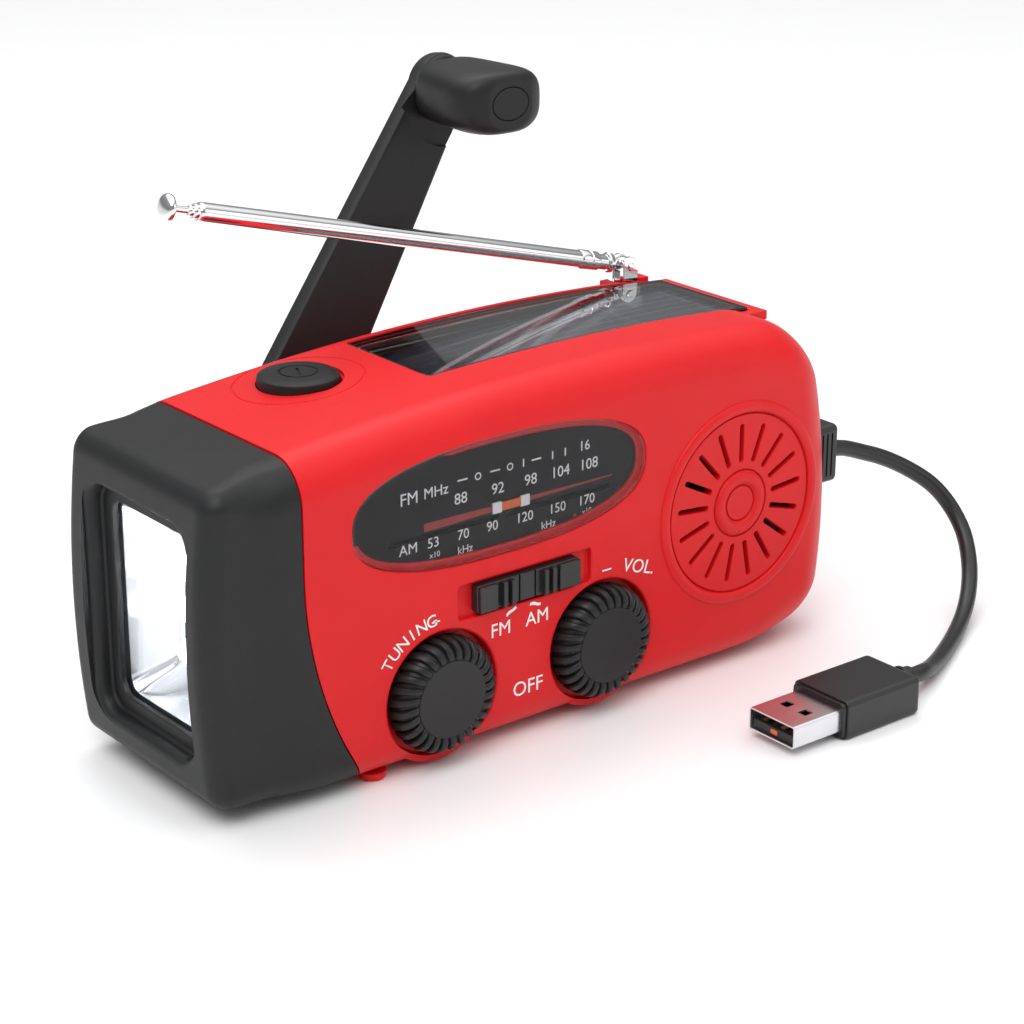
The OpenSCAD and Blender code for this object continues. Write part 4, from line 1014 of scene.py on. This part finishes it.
def crank_hub():
    disc = [(0.02, 28.3), (12.7, 28.3), (13, 28.6), (13, 29.6), (12.8, 29.95), (12.3, 30.2),
            (9.0, 30.2), (8.7, 30.05), (8.4, 30.2), (0.02, 30.2)]
    lug = np.array([(29.0, -3.4), (HINGE_Y, -3.4)]
                   + [(HINGE_Y + 3.4 * math.sin(a), -3.4 * math.cos(a))
                      for a in np.linspace(0.15, math.pi - 0.15, 18)]
                   + [(HINGE_Y, 3.4), (29.0, 3.4)])
    along = (math.sin(CRANK_DIR), 0, math.cos(CRANK_DIR))
    on_lug = axes((HUB[0], 0, HUB[1]), (0, 1, 0), along, tuple(ARM_ACROSS))
    pin = moved(slab(circle(1.53, 40), -12, 12), axes(HINGE, (0, 1, 0), along,
                                                       tuple(ARM_ACROSS)))
    shaft = moved(slab(circle(2.5, 40), 20, 29.98), on_pin((HUB[0], 0, HUB[1])))
    piece("crank_disc", [moved(lathe(disc, 96), on_rear(*HUB)),
                         moved(slab(lug, -4, 4, 0.35, 0.35), on_lug)], CHARCOAL, "crank",
          ["crank_hub"], cuts=[pin, shaft])


def crank_arm():
    wide, narrow, half = 10.75, 6.7, 2.0
    tip = [(narrow * math.cos(a), CRANK_R + narrow * math.sin(a))
           for a in np.linspace(0, math.pi, 32)]
    blade = np.array([(-wide, 4.3), (wide, 4.3)] + tip)
    at_end = axes(ARM_END, (-1, 0, 0), (0, 0, 1), (0, 1, 0))
    arm = thing("crank_blade", moved(slab(blade, -half, half, 1.15, 1.15, 3), ON_ARM))
    combine(arm, moved(slab(circle(11.8, 96), -12, -2.6), at_end))
    cheek = axes(HINGE, tuple(ARM_ALONG), tuple(ARM_OUT), tuple(ARM_ACROSS))
    for a, b in ((4.4, 10.2), (-10.2, -4.4)):
        combine(arm, moved(slab(circle(3.4, 48), a, b, 0.4, 0.4), cheek), "UNION")
        combine(arm, moved(slab(rounded(-1, 5, -1.9, 1.9, 0.4, 3), a, b, 0.3, 0.3), cheek),
                "UNION")
    boss = [(0.02, -2.6), (6.1, -2.6), (6.4, -2.3), (6.4, 2.0), (6.1, 2.45), (5.5, 2.6),
            (4.4, 2.6), (4.2, 2.35), (3.0, 2.35), (2.8, 2.6), (0.02, 2.6)]
    combine(arm, moved(lathe(boss, 64), at_end), "UNION")
    combine(arm, moved(slab(circle(1.53, 40), -14, 14), cheek))
    combine(arm, moved(slab(circle(2.22, 40), -9, 9), at_end))
    polish(arm, CHARCOAL, "arm", ["crank_arm"], 26)


def crank_grip():
    """Pillow-shaped grip: lofted sections that close down at the round free end."""
    end = ARM_END[1] - 2.9
    start = end - GRIP_LEN
    stations = [(0.0, 5.1, 4.5), (0.15, 5.7, 5.0), (0.5, 6.5, 5.6), (1.1, 7.8, 6.0),
                (2.0, 8.9, 6.2), (3.2, 9.6, 6.32), (4.6, 10.1, 6.38), (6.2, 10.36, 6.4),
                (8.5, 10.2, 6.4), (12, 9.75, 6.4), (16, 9.2, 6.38), (18.5, 8.8, 6.32),
                (19.8, 8.5, 6.2), (20.4, 8.2, 5.9), (20.6, 7.8, 5.5)]
    rings = []
    for y, a, b in stations:
        o = oval(a, b, 3.0, 96)
        rings.append(np.c_[ARM_END[0] + o[:, 0], np.full(96, start + y), ARM_END[2] + o[:, 1]])
    grip = thing("crank_handle", loft(rings))
    at_end = on_rear(ARM_END[0], ARM_END[2])
    combine(grip, moved(slab(circle(2.25, 40), start + 4, end + 3), at_end))
    combine(grip, moved(slab(circle(3.65, 40), start + 3, ARM_END[1] - 18.2), at_end))
    verts, faces = hoop(4.0, 0.16, 0.25, start, 96, 8)
    combine(grip, moved((verts * (1.12, 0.82, 1), faces), at_end))
    polish(grip, CHARCOAL, "grip", ["crank_grip"], 40)


# ------------------------------------------------------------------ charging lead ends

def lead_ends():
    y, z = PLUG
    grooves = []
    for g in (75.0, 76.3, 77.6):
        groove = rounded(g - 0.2, g + 0.2, z - 4.6, z + 4.6, 0.18, 3)
        grooves.append(moved(sink(groove, -y + 3.0, -y + 2.6, 0.08, 0.1), on_front()))
    side = piece("charging_plug", [
        moved(slab(rounded(y - 3, y + 3, z - 6.2, z + 6.2, 1.3), 73.15, 79.5, 0.3, 0.9), on_right()),
        moved(slab(rounded(y - 1, y + 1, z - 3.4, z + 3.4, 0.5), 68.2, 73.4), on_right())],
        CABLE, "case", ["side_plug"], cuts=grooves)

    y, z = USB_Y, USB_Z
    low, high = 0.0, 7.8
    over = [moved(slab(rounded(y - 7.2, y + 7.2, low, high, 1.1), 37.1, 57, 0.25, 1.3, 5),
                  on_right()),
            moved(slab(rounded(y - 6.75, y + 6.75, low + 0.45, high - 0.45, 0.9), 36.3, 38, 0.2),
                  on_right()),
            moved(lathe([(0.02, 56), (3.0, 56), (2.9, 56.9), (2.9, 57.6), (2.5, 57.8),
                         (2.5, 58.2), (2.9, 58.4), (2.9, 59.0), (2.4, 59.3), (2.3, 59.6),
                         (2.3, 61.2), (2.1, 61.5), (0.02, 61.5)], 48), on_right(y, z))]
    pocket = moved(slab(rounded(y - 6, y + 6, z - 2.25, z + 2.25, 0.5), 30, 42.3), on_right())
    body = piece("usb_overmould", over, CABLE, "case", ["usb_plug_body"],
                 cuts=[pocket])
    shell = moved(slab(rounded(y - 6, y + 6, z - 2.25, z + 2.25, 0.5), 24.3, 42.3), on_right())
    hollow = moved(slab(rounded(y - 5.7, y + 5.7, z - 1.95, z + 1.95, 0.3), 20, 41.5),
                   on_right())
    cuts = [hollow]
    for a in (-3.4, 1.4):
        cuts.append(moved(slab(rounded(29.5, 31.7, y + a, y + a + 2, 0.15, 3), z + 1, z + 5),
                          on_top()))
    metal = piece("usb_shell", shell, PLUG_STEEL, "case", ["usb_plug_shell"],
                  cuts=cuts)
    tongue = piece("usb_tongue", moved(slab(rounded(y - 5.6, y + 5.6, z - 1.9, z - 0.1, 0.2),
                                            25, 41.4, 0.15, 0), on_right()),
                   CAD_LOOKS["plug_tongue"], "case", ["usb_plug_tongue"])
    strips = [slab(rounded(25.8, 33.5, y + c - 0.55, y + c + 0.55, 0.15, 3), z - 0.1, z - 0.02)
              for c in (-3.5, -1.2, 1.2, 3.5)]
    gold = piece("usb_contacts", [merged([moved(s, on_top()) for s in strips])],
                 CAD_LOOKS["brass_part"], "case")
    dot = slab(rounded(y - 0.9, y + 0.9, z - 1.45, z - 0.55, 0.3, 3), 24.93, 25.02)
    mark = piece("usb_mark", moved(dot, on_right()), ORANGE, "case")
    return [side, body, metal, tongue, gold, mark]


antenna()
crank_hub()
crank_arm()
crank_grip()
lead_ends()


# ------------------------------------------------------------------ studio

def soft_box(name, at, target, size, watts):
    data = bpy.data.lights.new(name, "AREA")
    data.shape, data.size, data.size_y = "RECTANGLE", *size
    data.energy = watts
    light = bpy.data.objects.new(name, data)
    bpy.context.scene.collection.objects.link(light)
    light.location = at
    light.rotation_euler = (Vector(target) - Vector(at)).to_track_quat("-Z", "Y").to_euler()


def studio():
    bpy.context.scene.view_settings.view_transform = "Standard"
    floor = thing("studio_floor", slab(rounded(-3000, 3000, -3000, 3000, 900), -20, 0))
    floor.data.materials.append(material("studio_floor", (0.93, 0.93, 0.935), 0.42, vary=0.004))
    world = bpy.data.worlds.new("studio")
    world.use_nodes = True
    nodes, links = world.node_tree.nodes, world.node_tree.links
    place = nodes.new("ShaderNodeTexCoord")
    split = nodes.new("ShaderNodeSeparateXYZ")
    height = nodes.new("ShaderNodeMapRange")
    put(height, From_Min=-1)
    sky = nodes.new("ShaderNodeValToRGB")
    links.new(place.outputs["Generated"], split.inputs["Vector"])
    links.new(split.outputs["Z"], height.inputs["Value"])
    links.new(height.outputs["Result"], sky.inputs["Fac"])
    links.new(sky.outputs["Color"], nodes["Background"].inputs["Color"])
    stops = sky.color_ramp.elements
    stops[0].position, stops[0].color = 0.5, (0.5, 0.5, 0.5, 1)
    stops[1].position, stops[1].color = 0.88, (1, 1, 1, 1)
    for at, grey in ((0.56, 0.14), (0.76, 0.22)):
        stops.new(at).color = (grey, grey, grey, 1)
    put(nodes["Background"], Strength=1.55)
    bpy.context.scene.world = world
    soft_box("key", (-0.45, -0.35, 0.75), (0, 0, 0.03), (0.5, 0.5), 2.6)
    soft_box("fill", (0.6, -0.7, 0.35), (0, 0, 0.03), (0.6, 0.4), 0.8)
    soft_box("top", (0.1, 0.35, 0.8), (0, 0, 0.05), (0.7, 0.4), 1.6)


studio()
